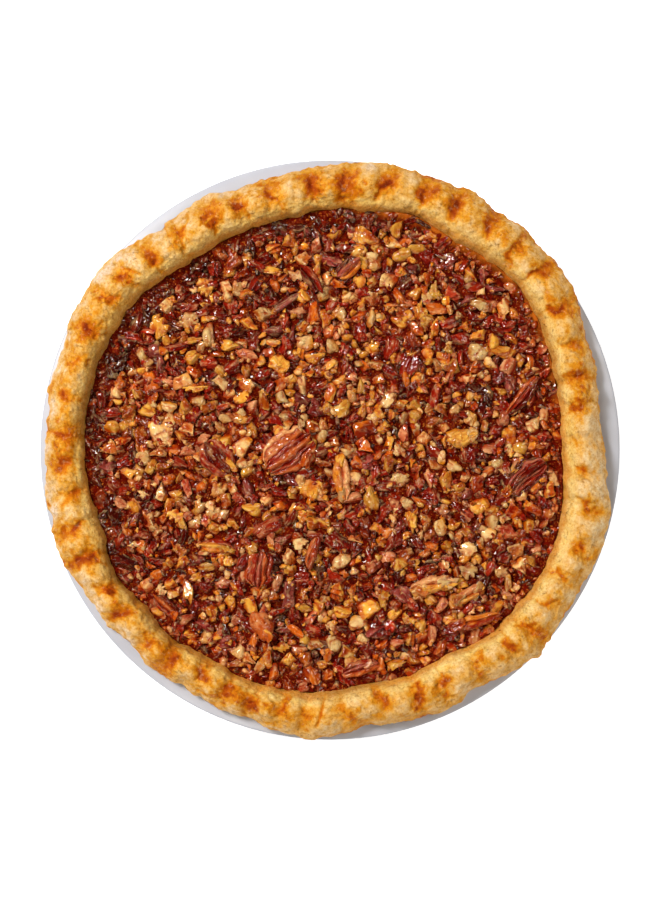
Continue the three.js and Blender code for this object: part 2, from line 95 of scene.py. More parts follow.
# The crimps: angle, radius of the browned spot in it, how brown
CRIMPS = [
    (2, 100.6, 0.45), (9.5, 104.4, 1), (16, 106.5, 1), (23.5, 109.4, 0.5), (31.5, 110.6, 0.9),
    (40.5, 113.6, 1), (47, 112.7, 0.9), (54, 114, 0.9), (62.5, 113.1, 0.9), (69.5, 112.7, 1),
    (78, 112.7, 1), (86.5, 110.2, 1), (94, 111.9, 1), (103, 109, 0.9), (110, 108.5, 1), (117, 107.7, 1),
    (125, 107.7, 0.6), (132.5, 109.4, 1), (140, 111.9, 1), (145.5, 113.6, 0.8), (153.5, 113.6, 0.9),
    (160, 113.6, 0.1), (168, 112.7, 1), (176, 114, 0.9), (183, 113.6, 1), (190, 109, 0.4), (197, 112.7, 1),
    (203.5, 113.6, 1), (211.5, 111, 0.9), (218, 110.2, 1), (226, 111.5, 0.9), (232, 110.6, 0.9),
    (240.5, 107.7, 0.9), (246.5, 110.6, 0.8), (252.5, 110.2, 0.9), (259, 108.5, 0.8), (264.5, 112.7, 0.4),
    (273, 109.4, 0.4), (281.5, 106.5, 0.8), (289.5, 108.5, 0.9), (295.5, 109.4, 1), (304.5, 107.3, 0.8),
    (312.5, 111.9, 0.9), (318, 111.9, 0.8), (325, 111.9, 0.9), (331, 109.8, 0.8), (338.5, 111.9, 1),
    (347, 110.6, 0.9), (354.5, 106.5, 0.8),
]
# The large pecans: place, middle, size, turn, bluntness of the ends, bend, and the tones of the ridges from
# the right-hand side to the left
PECANS = [
    ("centre", (-17.4, -0.9), (22, 16.5, 4), 38, (0.6, 0.7), 0.4, "ororoc"),
    ("left_ridged", (-47.3, -3), (15.5, 13.6, 4.2), 130, (0.6, 0.5), 0.3, "rdr"),
    ("middle_strip", (5.3, -11.8), (19, 7.4, 4), 97, (0.35, 0.6), 0.5, "cg"),
    ("right_ridged", (83, -11), (18, 13, 4.2), 40, (0.5, 0.5), 0.5, "drpdrpd"),
    ("right_long", (80.5, 22.6), (20.5, 6, 4.2), 52, (0.3, 0.5), -0.8, "dro"),
    ("front_right_long", (60.4, -71.4), (22, 6, 4.2), 13, (0.5, 0.35), -0.9, "rg"),
    ("front_right_pale", (43.6, -57), (18.8, 7.4, 4), 8, (0.5, 0.45), 0.6, "yc"),
    ("front_right_short", (58, -60.6), (13.6, 6, 3.8), 27, (0.4, 0.5), -0.4, "yc"),
    ("back_dark", (7.8, 76.7), (12.4, 8, 4.2), 40, (0.5, 0.4), 0.2, "gpd"),
    ("back_red", (-8.2, 71.6), (14, 6.4, 4.2), -52, (0.35, 0.5), 0.5, "dr"),
    ("front_left_ridged", (-29.7, -50.3), (14.5, 12.4, 4.2), 85, (0.6, 0.6), 0, "ropro"),
    ("front_long", (12.9, -91.6), (16, 7, 4), 18, (0.4, 0.5), 0.4, "opr"),
    ("front_left_round", (-28.5, -73.5), (12.6, 8.6, 4.2), -60, (0.6, 0.6), 0, "o"),
    ("left_golden", (-47.4, -41), (15, 6.6, 4.2), -10, (0.4, 0.4), 0.7, "gyr"),
    ("front_left_dark", (-69, -65.6), (13.4, 6.4, 4), -45, (0.4, 0.5), 0.4, "rod"),
    ("front_red", (-25.9, -32.6), (12.5, 7, 4.2), 30, (0.5, 0.5), 0.4, "r"),
    ("right_pale", (55.5, 5.2), (12, 7.8, 4.2), 15, (0.5, 0.6), 0, "y"),
    ("front_strip", (-7.2, -43.2), (14.5, 5.2, 4), 74, (0.4, 0.5), 0.4, "ro"),
]

# Chopped pieces that stand out, by look: middle, size along X and along Y, and a turn if there is one
STANDING_OUT = {
    "pale": [
        (-69, 61, 6.3, 7.1), (-51, 49, 5.9, 13.9), (-68, 18, 7.6, 5), (-62, 29, 9.2, 6.7),
        (-71, 7, 10.1, 11.4), (-52, -49, 7.6, 4.2), (-71, -59, 5.5, 6.3), (-66, -61, 5, 3.4),
        (-50, -23, 5, 6.3), (4, 57, 6.7, 6.3), (9, 64, 8.8, 8.4), (17, 55, 4.2, 8.4), (-24, 45, 6.7, 3.4),
        (19, 36, 8.4, 5), (-4, 6, 6.3, 7.1), (65, 10, 3.4, 5), (47, -3, 3.4, 6.3), (55, 5, 11.8, 8.4),
        (59, 13, 5.9, 6.7), (62, 41, 9.2, 7.6), (55, 57, 5, 5), (50, 59, 4.2, 4.2), (63, 61, 9.7, 5.9),
        (-13, -40, 7.1, 7.6), (-17, -45, 8.4, 5.9, 115), (58, -41, 8.8, 8.4), (58, -51, 8.4, 8.4),
        (78, -43, 8, 9.2), (68, -30, 6.7, 8), (-12, 10, 3.4, 6.3), (75, -56, 3.4, 7.6),
    ],
    "golden": [
        (-43.3, 3.8, 6.5, 5.5, 40), (-52, 67, 7.1, 6.3), (-71, 52, 9.2, 11.4), (-57, 26, 11.4, 4.2),
        (-85, 15, 7.6, 8.4), (-80, 4, 5.9, 12.6), (-65, -28, 8.4, 6.3), (-44, -21, 5, 6.3),
        (-24, 85, 7.6, 7.1), (-17, 88, 6.3, 6.3), (-25, 76, 12.6, 4.2), (15, 89, 13, 8.4, 155),
        (28, 92, 6.3, 10.5), (36, 85, 8.4, 5), (44, 67, 5.9, 8.4), (38, 59, 5.5, 8.4), (63, 48, 9.2, 5),
        (73, 41, 11.4, 5.5), (44, 52, 4.2, 8.4), (36, 20, 6.3, 7.6), (17, -20, 6.7, 12.2),
        (-6, -30, 11.8, 7.6), (-9, -17, 10.1, 10.5), (0, 24, 5, 8.4), (-17, 24, 5, 3.4),
        (-28, 21, 4.2, 10.5), (25, -6, 6.7, 8.4), (53, -18, 8.4, 9.2), (63, -23, 9.2, 8.4),
        (75, 6, 7.6, 8.4), (92, -17, 5.9, 8.4), (49, -40, 5, 4.2), (38, -74, 5, 5.9), (4, -68, 10.5, 5.5),
        (17, -67, 10.5, 9.7), (23, -63, 5.9, 9.2), (-27, -88, 6.3, 8.4), (-17, -88, 7.6, 6.3),
        (-2, -90, 7.6, 3.4), (28, -90, 8.4, 4.2), (30, -48, 7.6, 6.3), (-50, -69, 5, 9.2),
        (-60, -59, 5, 12.6), (4, -59, 8.4, 10.5), (7, -85, 9.7, 6.3),
    ],
    "red": [
        (-59, 60, 8.4, 5), (-42, 60, 6.7, 8.4), (-51, 36, 7.6, 6.7), (-65, 43, 11.8, 4.2),
        (-49, 76, 7.1, 6.3), (6, 85, 8.4, 5), (12, 50, 8.4, 9.7), (75, 52, 7.6, 5), (58, -3, 10.5, 11.4),
        (-24, 13, 10.5, 6.3), (72, -20, 8.4, 8.4), (49, -45, 6.3, 5.9), (43, -19, 9.7, 10.5),
        (-52, -58, 6.7, 5.9),
    ],
    "purple": [
        (16, -5, 7.6, 6.7), (-23, 50, 8.4, 5), (-19, 62, 14.7, 4.2, 30), (-75, 41, 7.6, 7.1),
        (65, 73, 6.3, 7.6), (35, 76, 6.7, 5.9), (-17, -61, 6.7, 12.6), (20, -76, 13.9, 8.4),
    ],
}
# Pieces that lie on the large pecans: middle, length, width, turn, look, how far they rise
ON_PECANS = [
    (38.6, -58.4, 9.5, 7.4, 20, "pale", 5.2), (49.2, -55.9, 10, 6.6, 5, "pale", 5.2),
    (54, -62.4, 6.4, 5.2, 30, "pale", 5), (62.6, -58.4, 6, 5.4, 40, "pale", 4.9),
    (53, 5.2, 8.4, 7.6, 20, "golden", 5.2), (59.2, 6.2, 6.4, 5.4, 70, "pale", 4.8),
    (-43.6, -41.8, 8, 4.4, -20, "golden", 4.8), (4.4, -4.6, 6.4, 4.4, 100, "golden", 4.9),
    (5.6, -18.4, 7.4, 4.6, 80, "pale", 4.7), (-9.2, -4.6, 8, 5.4, 60, "amber", 5),
    (-41.8, -6.4, 7.6, 4, 130, "golden", 4.6), (74.6, -17.4, 5.4, 4.2, 40, "golden", 4.6),
    (-26.5, -77.6, 6.4, 5, 120, "golden", 4.9), (16.6, -90, 6.2, 4.6, 20, "rosy", 4.9),
    (9.6, 78.8, 6, 4, 30, "purple", 5.1), (-65.6, -69, 5.4, 4.2, -50, "amber", 4.6),
    (54, -73.4, 8, 4.6, 20, "amber", 4.9), (84.5, 28, 7, 4, 60, "red", 4.8),
]
# The flesh on top is painted paler as painted light; the flesh near the edge is partly caramel-stained and
# partly painted shade
# The looks of nut: the screen colours of its flesh on top, of its flesh near the edge and of its skin, how
# often each form faces up, and the width as a share of the length
FORMS = ("knob", "cut", "skin")
LOOKS = {
    "pale": ((247, 207, 138), (233, 149, 32), (210, 112, 26), (0.55, 0.42, 0.03), (0.6, 0.95)),
    "golden": ((242, 177, 66), (224, 124, 10), (194, 72, 2), (0.5, 0.35, 0.15), (0.55, 0.92)),
    "amber": ((222, 110, 20), (168, 49, 1), (154, 28, 1), (0.4, 0.2, 0.4), (0.5, 0.9)),
    "red": ((180, 46, 16), (136, 12, 2), (136, 8, 1), (0.12, 0.08, 0.8), (0.45, 0.75)),
    "dark": ((124, 22, 6), (88, 5, 1), (84, 3, 1), (0.2, 0.05, 0.75), (0.45, 0.75)),
    # Rosy and purple are red nuts with part of their pink sheen painted into their colours, a painted
    # highlight
    "rosy": ((234, 156, 104), (188, 72, 26), (172, 38, 14), (0.4, 0.15, 0.45), (0.45, 0.75)),
    "purple": ((178, 86, 74), (112, 18, 14), (106, 10, 8), (0.1, 0.05, 0.85), (0.45, 0.75)),
}
# The tones of ridges: cream, yellow, golden, orange, pink, red and dark red; pink is a painted highlight, the
# pink sheen along glossy ridges
RIDGE_TONES = {
    "c": (240, 180, 116), "y": (232, 168, 66), "g": (222, 130, 32), "o": (190, 86, 28), "p": (176, 86, 66),
    "r": (150, 32, 10), "d": (96, 12, 4),
}
# What a coat of dark syrup does to a colour under it
SYRUP_STAIN = (0.58, 0.12, 0.03)


# ---- Helpers ----


def make_draw(seed):
    """A seeded draw between 0 and 1, the same as the one that laid out the solids"""
    state = seed

    def draw():
        nonlocal state
        state = (state + 0x6D2B79F5) & 0xFFFFFFFF
        mixed = ((state ^ (state >> 15)) * (1 | state)) & 0xFFFFFFFF
        mixed = ((mixed + ((mixed ^ (mixed >> 7)) * (61 | mixed))) & 0xFFFFFFFF) ^ mixed
        return (mixed ^ (mixed >> 14)) / 4294967296

    return draw


def mix(low, high, share):
    return low + (high - low) * share


def smooth(start, end, value):
    """0 up to start, 1 from end on, and a smooth run between. end may be the lower one."""
    t = np.clip((value - start) / (end - start), 0, 1)
    return t * t * (3 - 2 * t)


def bell(off, width):
    """1 in the middle, falling smoothly to little at two widths off"""
    return np.exp(-((off / width) ** 2))


def linear(colour):
    """Screen colours, 0 to 255, as linear light"""
    c = np.asarray(colour, float) / 255
    return np.where(c <= 0.04045, c / 12.92, ((c + 0.055) / 1.055) ** 2.4)


def stained(tint, share):
    """Colours under as much dark syrup as share says"""
    return mix(tint, tint * np.array(SYRUP_STAIN), share[:, None])


def lumps(points, size, seed):
    """Smooth noise from -1 to 1, with features about size apart"""
    q = np.asarray(points, float) / size + 100
    cell = np.floor(q).astype(np.int64)
    t = q - cell
    t = t * t * (3 - 2 * t)
    total = np.zeros(len(q))
    for corner in np.ndindex(2, 2, 2):
        x, y, z = (cell[:, axis] + corner[axis] for axis in range(3))
        h = (x * 73856093) ^ (y * 19349663) ^ (z * 83492791) ^ (seed * 2654435761)
        h = ((h ^ (h >> 13)) * 1274126177) & 0xFFFFFFFF
        value = ((h ^ (h >> 16)) & 0xFFFF) / 32767.5 - 1
        weight = np.where(corner, t, 1 - t)
        total += value * weight[:, 0] * weight[:, 1] * weight[:, 2]
    return total


def layered(points, *layers):
    """Layers of noise on each other, each with its strength, size and seed"""
    return sum(strength * lumps(points, size, seed) for strength, size, seed in layers)


def around_ring(values, angle):
    """A smooth curve through values that are evenly spaced around the pie"""
    values = np.asarray(values, float)
    count = len(values)
    place = np.mod(angle / TURN, 1) * count
    start = np.floor(place).astype(int)
    t = place - start
    a, b, c, d = (values[(start + step) % count] for step in (-1, 0, 1, 2))
    return b + 0.5 * t * (c - a + t * (2 * a - 5 * b + 4 * c - d + t * (3 * (b - c) + d - a)))


def degrees_from(angle, middle):
    """Degrees from a middle in degrees to an angle in radians, -180 to 180"""
    return (np.degrees(angle) - middle + 180) % 360 - 180


def rotated(x, y, angle):
    """Places turned about the origin"""
    c, s = math.cos(angle), math.sin(angle)
    return x * c - y * s, x * s + y * c


def direction(azimuth, flat, height):
    """The direction with an angle around the Z axis, a reach off it and one along it"""
    return np.array([math.cos(azimuth) * flat, math.sin(azimuth) * flat, height])


def even_angles(sides):
    return np.arange(sides) / sides * TURN


def ring(radius, height, angle):
    """Points around the pie at a radius and a height"""
    return np.stack(np.broadcast_arrays(radius * np.cos(angle), radius * np.sin(angle), height), -1)


def closed_skin(rings):
    """Points and faces of a closed skin with a pole at each end, through rings of shape (rings, sides, 3)

    The rings run anticlockwise and go from below outwards and up.
    """
    count, sides, _ = rings.shape
    points = np.concatenate([rings.reshape(-1, 3), [rings[0].mean(0)], [rings[-1].mean(0)]])
    start, side = np.meshgrid(np.arange(count) * sides, np.arange(sides), indexing="ij")
    here, following = start + side, start + (side + 1) % sides
    quads = np.stack([here[:-1], following[:-1], following[1:], here[1:]], -1).reshape(-1, 4)
    low_cap = np.stack([following[0], here[0], np.full(sides, count * sides)], -1)
    high_cap = np.stack([here[-1], following[-1], np.full(sides, count * sides + 1)], -1)
    return points, quads.tolist() + low_cap.tolist() + high_cap.tolist()


def add_object(name, data):
    item = bpy.data.objects.new(name, data)
    bpy.context.scene.collection.objects.link(item)
    return item


def make_piece(name, points, faces, material, tint, grain=None):
    """A smooth-shaded piece that rides on the pie. points in mm, faces as lists of corners."""
    mesh = bpy.data.meshes.new(name)
    mesh.from_pydata((points * MM).tolist(), [], faces, shade_flat=False)
    mesh.validate()
    mesh.color_attributes.new("tint", "FLOAT_COLOR", "POINT").data.foreach_set("color", tint.ravel())
    if grain is not None:
        place = mesh.attributes.new("grain", "FLOAT_VECTOR", "POINT")
        place.data.foreach_set("vector", (grain * MM).ravel())
    mesh.materials.append(material)
    piece = add_object(name, mesh)
    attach(piece, "root")
    return piece


class Look:
    """Makes the nodes of a material or of the world"""

    def __init__(self, name, kind=bpy.data.materials):
        self.owner = kind.new(name)
        self.owner.use_nodes = True
        self.tree = self.owner.node_tree
        self.coordinates = self.add("TexCoord", {}).outputs

    def feed(self, node, inputs):
        for key, value in inputs.items():
            if isinstance(value, bpy.types.NodeSocket):
                self.tree.links.new(value, node.inputs[key])
            else:
                node.inputs[key].default_value = value

    def add(self, kind, inputs, **settings):
        node = self.tree.nodes.new("ShaderNode" + kind)
        for key, value in settings.items():
            setattr(node, key, value)
        self.feed(node, inputs)
        return node

    def finish(self, shader="Principled BSDF", **inputs):
        """Feeds the shader, with underscores for the spaces in its inputs' names"""
        self.feed(self.tree.nodes[shader], {key.replace("_", " "): value for key, value in inputs.items()})
        return self.owner

    def noise(self, size, detail=3, roughness=0.55, distortion=0.0, place=None):
        """Noise with features about size mm apart"""
        inputs = {"Vector": place or self.coordinates["Object"], "Scale": 1 / (size * MM), "Detail": detail,
                  "Roughness": roughness, "Distortion": distortion}
        return self.add("TexNoise", inputs).outputs["Fac"]

    def spread(self, value, low, high, to_low=0.0, to_high=1.0):
        inputs = {"Value": value, "From Min": low, "From Max": high, "To Min": to_low, "To Max": to_high}
        return self.add("MapRange", inputs).outputs["Result"]

    def patches(self, noise, *limits):
        """Noise, given by what noise takes, spread between limits"""
        return self.spread(self.noise(*noise), *limits)

    def mixed(self, factor, *colours):
        """A mix of two colours, each a screen colour or a node's output"""
        a, b = ((*linear(colour), 1) if isinstance(colour, tuple) else colour for colour in colours)
        return self.add("Mix", {0: factor, 6: a, 7: b}, data_type="RGBA").outputs[2]

    def stained(self, colour, stain):
        """A colour under a stain, given as the shares of red, green and blue light it lets through"""
        inputs = {0: 1.0, 6: colour, 7: (*stain, 1)}
        return self.add("Mix", inputs, data_type="RGBA", blend_type="MULTIPLY").outputs[2]

    def math(self, operation, a, b, kind="Math"):
        return self.add(kind, {0: a, 1: b}, operation=operation).outputs[0]

    def times(self, a, b):
        return self.math("MULTIPLY", a, b)

    def bump(self, height, distance, strength=1.0, normal=None):
        inputs = {"Height": height, "Distance": distance * MM, "Strength": strength}
        if normal is not None:
            inputs["Normal"] = normal
        return self.add("Bump", inputs).outputs["Normal"]

    def tint(self):
        node = self.add("Attribute", {}, attribute_name="tint")
        return node.outputs["Color"], node.outputs["Alpha"]


# ---- Dish ----


def dish_material():
    look = Look("dish_glaze")
    glaze = look.mixed(look.patches((38, 2), 0.35, 0.7), (197, 199, 210), (189, 191, 201))
    glaze = look.mixed(look.times(look.patches((1.6, 2), 0.7, 0.78), 0.1), glaze, (190, 182, 172))
    _, bare = look.tint()
    clay = look.mixed(look.patches((0.9, 4), 0.35, 0.65), (214, 206, 192), (190, 180, 164))
    ripple = look.bump(look.noise(17, 2), 0.1)
    return look.finish(
        Base_Color=look.mixed(bare, glaze, clay),
        Roughness=look.math("ADD", look.patches((22, 2), 0.3, 0.7, 0.3, 0.42), look.times(bare, 0.6)),
        Normal=look.bump(look.noise(1.1, 3), 0.012, 1, ripple),
    )


def rounded_profile(corners, steps=4):
    """A profile with each corner cut by an arc of a few points, where it has a rounding"""
    points = []
    for i, (*here, rounding) in enumerate(corners):
        if rounding == 0:
            points.append(here)
            continue
        ways = [np.subtract(corners[i + step][:2], here) for step in (-1, 1)]
        start, end = (way / np.linalg.norm(way) * min(rounding, np.linalg.norm(way) * 0.48) for way in ways)
        points += [here + start * (1 - t) ** 2 + end * t**2 for t in np.linspace(0, 1, steps)]
    return np.array(points)


def make_dish():
    profile = rounded_profile(DISH_PROFILE)
    points, faces = closed_skin(ring(profile[:, :1], profile[:, 1:], even_angles(256)))
    # The foot ring's underside is bare clay
    bare = smooth(0.5, 0.15, points[:, 2]) * (np.hypot(points[:, 0], points[:, 1]) > 70)
    tint = np.column_stack([np.ones((len(points), 3)), bare])
    dish = make_piece("glazed_dish", points, faces, dish_material(), tint)
    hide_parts("dish")


# ---- Crust ----

# How brown the rim is around the pie, every 30 degrees, and how much browner than that its outer part is
ANGLE_BROWN = [-0.12, -0.04, 0.02, 0.1, 0.05, 0.04, 0.1, 0.14, 0.07, -0.04, -0.06, -0.12]
OUTER_BROWN = [-0.06, 0.2, 0.17, -0.03, -0.03, -0.05, -0.14, -0.15, -0.08, 0.02, 0.04, 0]
# The side that the photograph's light falls on, where the edge is paler
LIT_SIDE = math.radians(150)
# Cracks and creases: start angle, start radius, end angle, end radius, width, depth, dark
CRACKS = [
    (267.3, 116, 268.8, 103, 0.7, 0.7, 0.5), (137.2, 107.5, 138.8, 116, 0.6, 0.5, 0.35),
    (57.5, 105.5, 61.5, 103.5, 1, 0.6, 0.3), (160.5, 117.5, 162, 115.5, 0.7, 0.4, 0.3),
    (190.6, 119.8, 191.2, 119.2, 0.6, 0.3, 0.6), (82.4, 112.2, 82.8, 112.8, 0.8, 0.5, 0.5),
    (34.5, 111, 37.5, 112.5, 1.2, 0.4, 0.4), (101, 116.2, 104.5, 114.8, 0.6, 0.4, 0.25),
    (121.5, 113.2, 124, 110.2, 0.8, 0.6, 0.35), (205, 108, 207, 105.5, 0.8, 0.4, 0.3),
    (332, 117, 334.5, 117.5, 0.6, 0.4, 0.3), (14, 112.5, 12.5, 110.5, 0.7, 0.4, 0.2),
    (298, 103.5, 300.5, 105.5, 0.8, 0.5, 0.3), (241, 114.5, 244.5, 115, 0.6, 0.4, 0.25),
]
# A leaf of dough that lies on the rim, along the same kind of line, and half its width
LEAF = (125.5, 117, 125.9, 112.5)
LEAF_HALF = 2
# Amber syrup that has run up the crust, darkened where strong, partly as painted shade: from angle, to angle,
# how strong
SYRUP = [
    (268, 285, 0.5), (12, 78, 0.45), (193, 236, 0.7), (138, 150, 0.35), (152, 180, 0.8), (340, 352, 0.25),
    (96, 104, 0.3),
]
# The crust's colour by how brown it is
CRUST_RAMP = {
    -0.3: (248, 222, 176), 0: (244, 206, 146), 0.22: (238, 184, 94), 0.42: (230, 158, 36),
    0.62: (216, 128, 8), 0.85: (190, 92, 0), 1.15: (150, 55, 0), 1.6: (104, 32, 0),
}
RUN_SYRUP = (238, 158, 54)
# The inner slope's colour: paler dough, painted lighter still as painted light
INNER_SLOPE_PAINTED_LIGHT = (255, 218, 122)
# Painted shade in the hollows and painted light on the lit side: what each does to the colour's red, green
# and blue
HOLLOW_PAINTED_SHADE = np.array([0.99, 0.88, 0.62])
LIT_SIDE_PAINTED_LIGHT = np.array([0.84, 0.93, 1.4])
# Where unevenness and streaks are spaced, the crust's highest place, and its lowest on the dish's lip
RIM_RADIUS = 117
CRUST_TOP = 47.9
LIP_LEVEL = 36.25


def crust_gap(x, y):
    """How far inside the crust's inner edge a place is"""
    return around_ring(INNER_EDGE, np.arctan2(y, x)) - np.hypot(x, y)


def outer_edge(angle):
    """Straight runs between the listed places, softened a little"""
    places, radii = list(OUTER_EDGE), list(OUTER_EDGE.values())
    shifted = [np.degrees(angle) + shift for shift in (-1.6, -0.8, 0, 0.8, 1.6)]
    runs = [np.interp(degrees, places, radii, period=360) for degrees in shifted]
    middle, reach, width = SPIKE
    return np.mean(runs, 0) + reach * bell(degrees_from(angle, middle), width)


def crimp_press(angle):
    """How far the rim is pressed in at an angle, 0 to about 1"""
    draw = make_draw(CRIMP_SEED)
    depths = [mix(*CRIMP_STRENGTH, draw()) for _ in CRIMPS]
    places = np.radians([crimp[0] for crimp in CRIMPS])
    turned = np.mod(angle - places[0], TURN) + places[0]
    steps = np.interp(turned, np.append(places, places[0] + TURN), range(len(CRIMPS) + 1))
    closeness = 0.5 + 0.5 * np.cos(steps * TURN)
    return closeness**CRIMP_SHARPNESS * np.interp(angle, places, depths, period=TURN)


def rim_height(share, angle, press):
    dome = np.maximum(np.sin(math.pi * share**RIM_SKEW), 0) ** RIM_FULLNESS
    crest = RIM_RISE + sum(rise * np.sin(count * angle + start) for rise, count, start in CREST_WAVES)
    return mix(RIM_FOOT, RIM_EDGE, share) + crest * dome - CRIMP_DENT * press * np.sin(math.pi * share**1.25)


def crust_rings(angle, press):
    """Rings from the foot over the rim and down inside, how far across the rim and how rough each is"""
    spots = ring(RIM_RADIUS, 0, angle)
    edge = outer_edge(angle) + layered(spots, (0.45, 4.2, 11), (0.25, 1.7, 12))
    inner = around_ring(INNER_EDGE, angle) + layered(spots, (0.5, 5, 13), (0.2, 1.9, 14))
    inner += (press - 0.45) * (0.6 + 0.4 * lumps(spots, 9, 15))
    across = np.concatenate([[0, 0.012, 0.03, 0.055], np.linspace(0.085, 0.94, 46), [0.965, 0.985, 1]])[::-1]
    rows = [(80.4, 5.8, 1, 0), (110.7, 34.9, 1, 0), (112.9, 36.3, 1, 0), (edge - 3.4, 36.3, 1, 0),
            (edge - 2, 36.35, 1, 0.5), (edge - 0.9, 36.8, 1, 1), (edge - 0.25, 37.6, 1, 1),
            (edge - 0.02, 38.5, 1, 1)]
    rows += [(mix(inner, edge, share), rim_height(share, angle, press), share, 1) for share in across]
    rows += [(inner - 0.5, 35.4, 0, 0.5), (inner - 2, 33, 0, 0), (inner - 5, 29, 0, 0), (77.5, 9.8, 0, 0)]
    radii, heights, shares, shown = zip(*rows)
    rings = np.array([ring(radius, height, angle) for radius, height in zip(radii, heights)])
    return rings, np.array(shares), np.array(shown)


def near_line(theta, radius, line):
    """Distance in mm to a line between two places, each an angle in degrees and a radius"""
    start, end = (ring(line[i + 1], 0, math.radians(line[i])) for i in (0, 2))
    off, along = ring(radius, 0, theta) - start, end - start
    t = np.clip(off @ along / (along @ along), 0, 1)
    return np.linalg.norm(off - t[:, None] * along, axis=1)


def crimp_marks(points, theta, radius, warp, streak):
    """How brown the crimps are, and how deep their pits and creases"""
    blotch = 1 + layered(points, (0.5, 2.2, 43), (0.35, 6, 45), (0.45, 1.2, 48))
    brown, deep = np.zeros(len(points)), np.zeros(len(points))
    for i, (place, spot, strength) in enumerate(CRIMPS):
        down = radius + warp[1] - spot
        slant = 0.35 * math.sin(7.3 * i + 1)
        off = np.radians(degrees_from(theta, place)) * radius + warp[0] - slant * down
        near = np.abs(off) < 12
        length = 4.8 + 1.5 * math.sin(3.1 * i)
        width = 2.5 + 0.6 * math.sin(5.7 * i + 2)
        halo = bell(off, width * 2.5) * bell(down, length * 1.6)
        halo = mix(smooth(0.28, 0.66, halo * blotch), halo, 0.4)
        # The browned patch ends more sharply on one side of the crimp
        sharp = off - (0.9 + 0.6 * math.sin(4.3 * i))
        core = bell(sharp, np.where(sharp > 0, 2.6, 1.2)) * bell(down, length * 0.8)
        core = mix(smooth(0.32, 0.68, core * blotch), core, 0.4)
        crease = bell(off, 0.9) * smooth(4, -4, down) * smooth(-17, -10, down)
        pit = bell(off, 2.4) * bell(down, 5.4)
        spots = strength * (0.33 * halo + 0.44 * core) * (1 + 0.8 * streak)
        brown += np.where(near, spots + 0.14 * crease, 0)
        deep += np.where(near, (0.3 + 0.7 * strength) * (0.4 * pit + 0.5 * crease), 0)
    return brown, deep


def browning(points, theta, share, pressed, relief, lit):
    """How brown the crust is apart from its crimps, cracks and leaf, with painted light on its inner slope
    and on its edge at the lit side
    """
    spots = layered(points, (1, 3.0, 50), (0.4, 1.2, 51))
    brown = layered(points, (0.12, 11, 33), (0.16, 4.3, 34), (0.14, 1.9, 35), (0.1, 0.9, 44))
    brown += 0.22 * smooth(0.25, 0.6, spots) * smooth(0.3, 0.5, share)
    brown += 0.14 * (pressed - 0.35) * smooth(0.02, 0.3, share) - 0.16 * np.clip(relief, -1, 1)
    # The inner slope is less brown, partly paler dough and partly painted light
    brown += around_ring(ANGLE_BROWN, theta) + 0.13 - 0.16 * smooth(0.34, 0.1, share)
    brown += around_ring(OUTER_BROWN, theta) * smooth(0.35, 0.55, share)
    # The outer edge is browner, partly real browning and partly painted shade, as it is kept paler on the lit
    # side
    return brown + 0.3 * smooth(0.9, 1, share) * (0.7 + 0.5 * lumps(points, 3, 49)) * (1 - 0.8 * lit)


def syrup_on_crust(points, theta, share):
    """How much syrup has run up the crust, and where there is more of it"""
    soaked = np.zeros(len(points))
    for start, end, strength in SYRUP:
        half, off = (end - start) / 2, np.abs(degrees_from(theta, (start + end) / 2))
        soaked = np.maximum(soaked, strength * smooth(half + 4, half - 4, off))
    run = share + 0.05 * lumps(points, 5, 36)
    return np.maximum(soaked * smooth(0.24, 0.05, run), 0.8 * smooth(0.15, 0.05, run)), soaked


def crust_tint(points, brown, share, relief, lit, syrup, soaked):
    channels = linear(list(CRUST_RAMP.values())).T
    tint = np.column_stack([np.interp(brown, list(CRUST_RAMP), channel) for channel in channels])
    amber = linear(RUN_SYRUP) * mix(0.75, 1.1, 0.5 + 0.5 * lumps(points, 3, 38))[:, None]
    # Darker where more syrup has run: partly thicker syrup and partly painted shade, as the strongest runs
    # lie on the crust's shaded side
    amber *= (1 - 0.45 * soaked)[:, None]
    # Painted light: where little browned, the inner slope is tinted a light cream
    slope_painted_light = 0.7 * smooth(0.4, 0.12, share) * smooth(0.5, 0.2, brown)
    # Painted shade: the hollows are tinted warmer and deeper, as pastry looks in shade
    tint = mix(tint, tint * HOLLOW_PAINTED_SHADE, (0.7 * smooth(0.1, -1.1, relief))[:, None])
    tint = mix(tint, linear(INNER_SLOPE_PAINTED_LIGHT), slope_painted_light[:, None])
    # Painted light: the outer part of the rim on the lit side is tinted paler and cooler
    tint = mix(tint, tint * LIT_SIDE_PAINTED_LIGHT, (lit * smooth(0.5, 0.9, share))[:, None])
    return mix(tint, amber, syrup[:, None])


def crust_material():
    look = Look("baked_pastry")
    tint, _ = look.tint()
    fine = look.patches((1.0, 4, 0.65), 0.42, 0.68, 0, 0.9)
    colour = look.mixed(fine, tint, look.stained(tint, (0.8, 0.58, 0.3)))
    flour = look.patches((1.9, 3, 0.6, 0.4), 0.55, 0.7, 0, 0.5)
    colour = look.mixed(flour, colour, look.mixed(0.4, colour, (255, 226, 170)))
    toast = look.patches((0.6, 2, 0.5), 0.6, 0.72, 0, 0.65)
    colour = look.mixed(toast, colour, look.stained(colour, (0.62, 0.42, 0.26)))
    # Short cracks between flakes
    middle = look.math("ABSOLUTE", look.math("SUBTRACT", look.noise(5.5, 4, 0.62, 0.6), 0.5), 0)
    flake = look.times(look.spread(middle, 0, 0.01, 1, 0), look.patches((4, 2), 0.5, 0.58))
    colour = look.mixed(look.times(flake, 0.6), colour, look.stained(colour, (0.62, 0.38, 0.2)))
    crumb = look.bump(flake, -0.25, 1, look.bump(look.noise(1.5, 4, 0.66), 0.65))
    return look.finish(
        Base_Color=colour, Roughness=look.patches((3.1, 3), 0.3, 0.7, 0.45, 0.72),
        Specular_IOR_Level=0.15, Specular_Tint=(1, 0.8, 0.6, 1),
        Normal=look.bump(look.noise(0.45, 3, 0.6), 0.15, 0.9, crumb),
    )


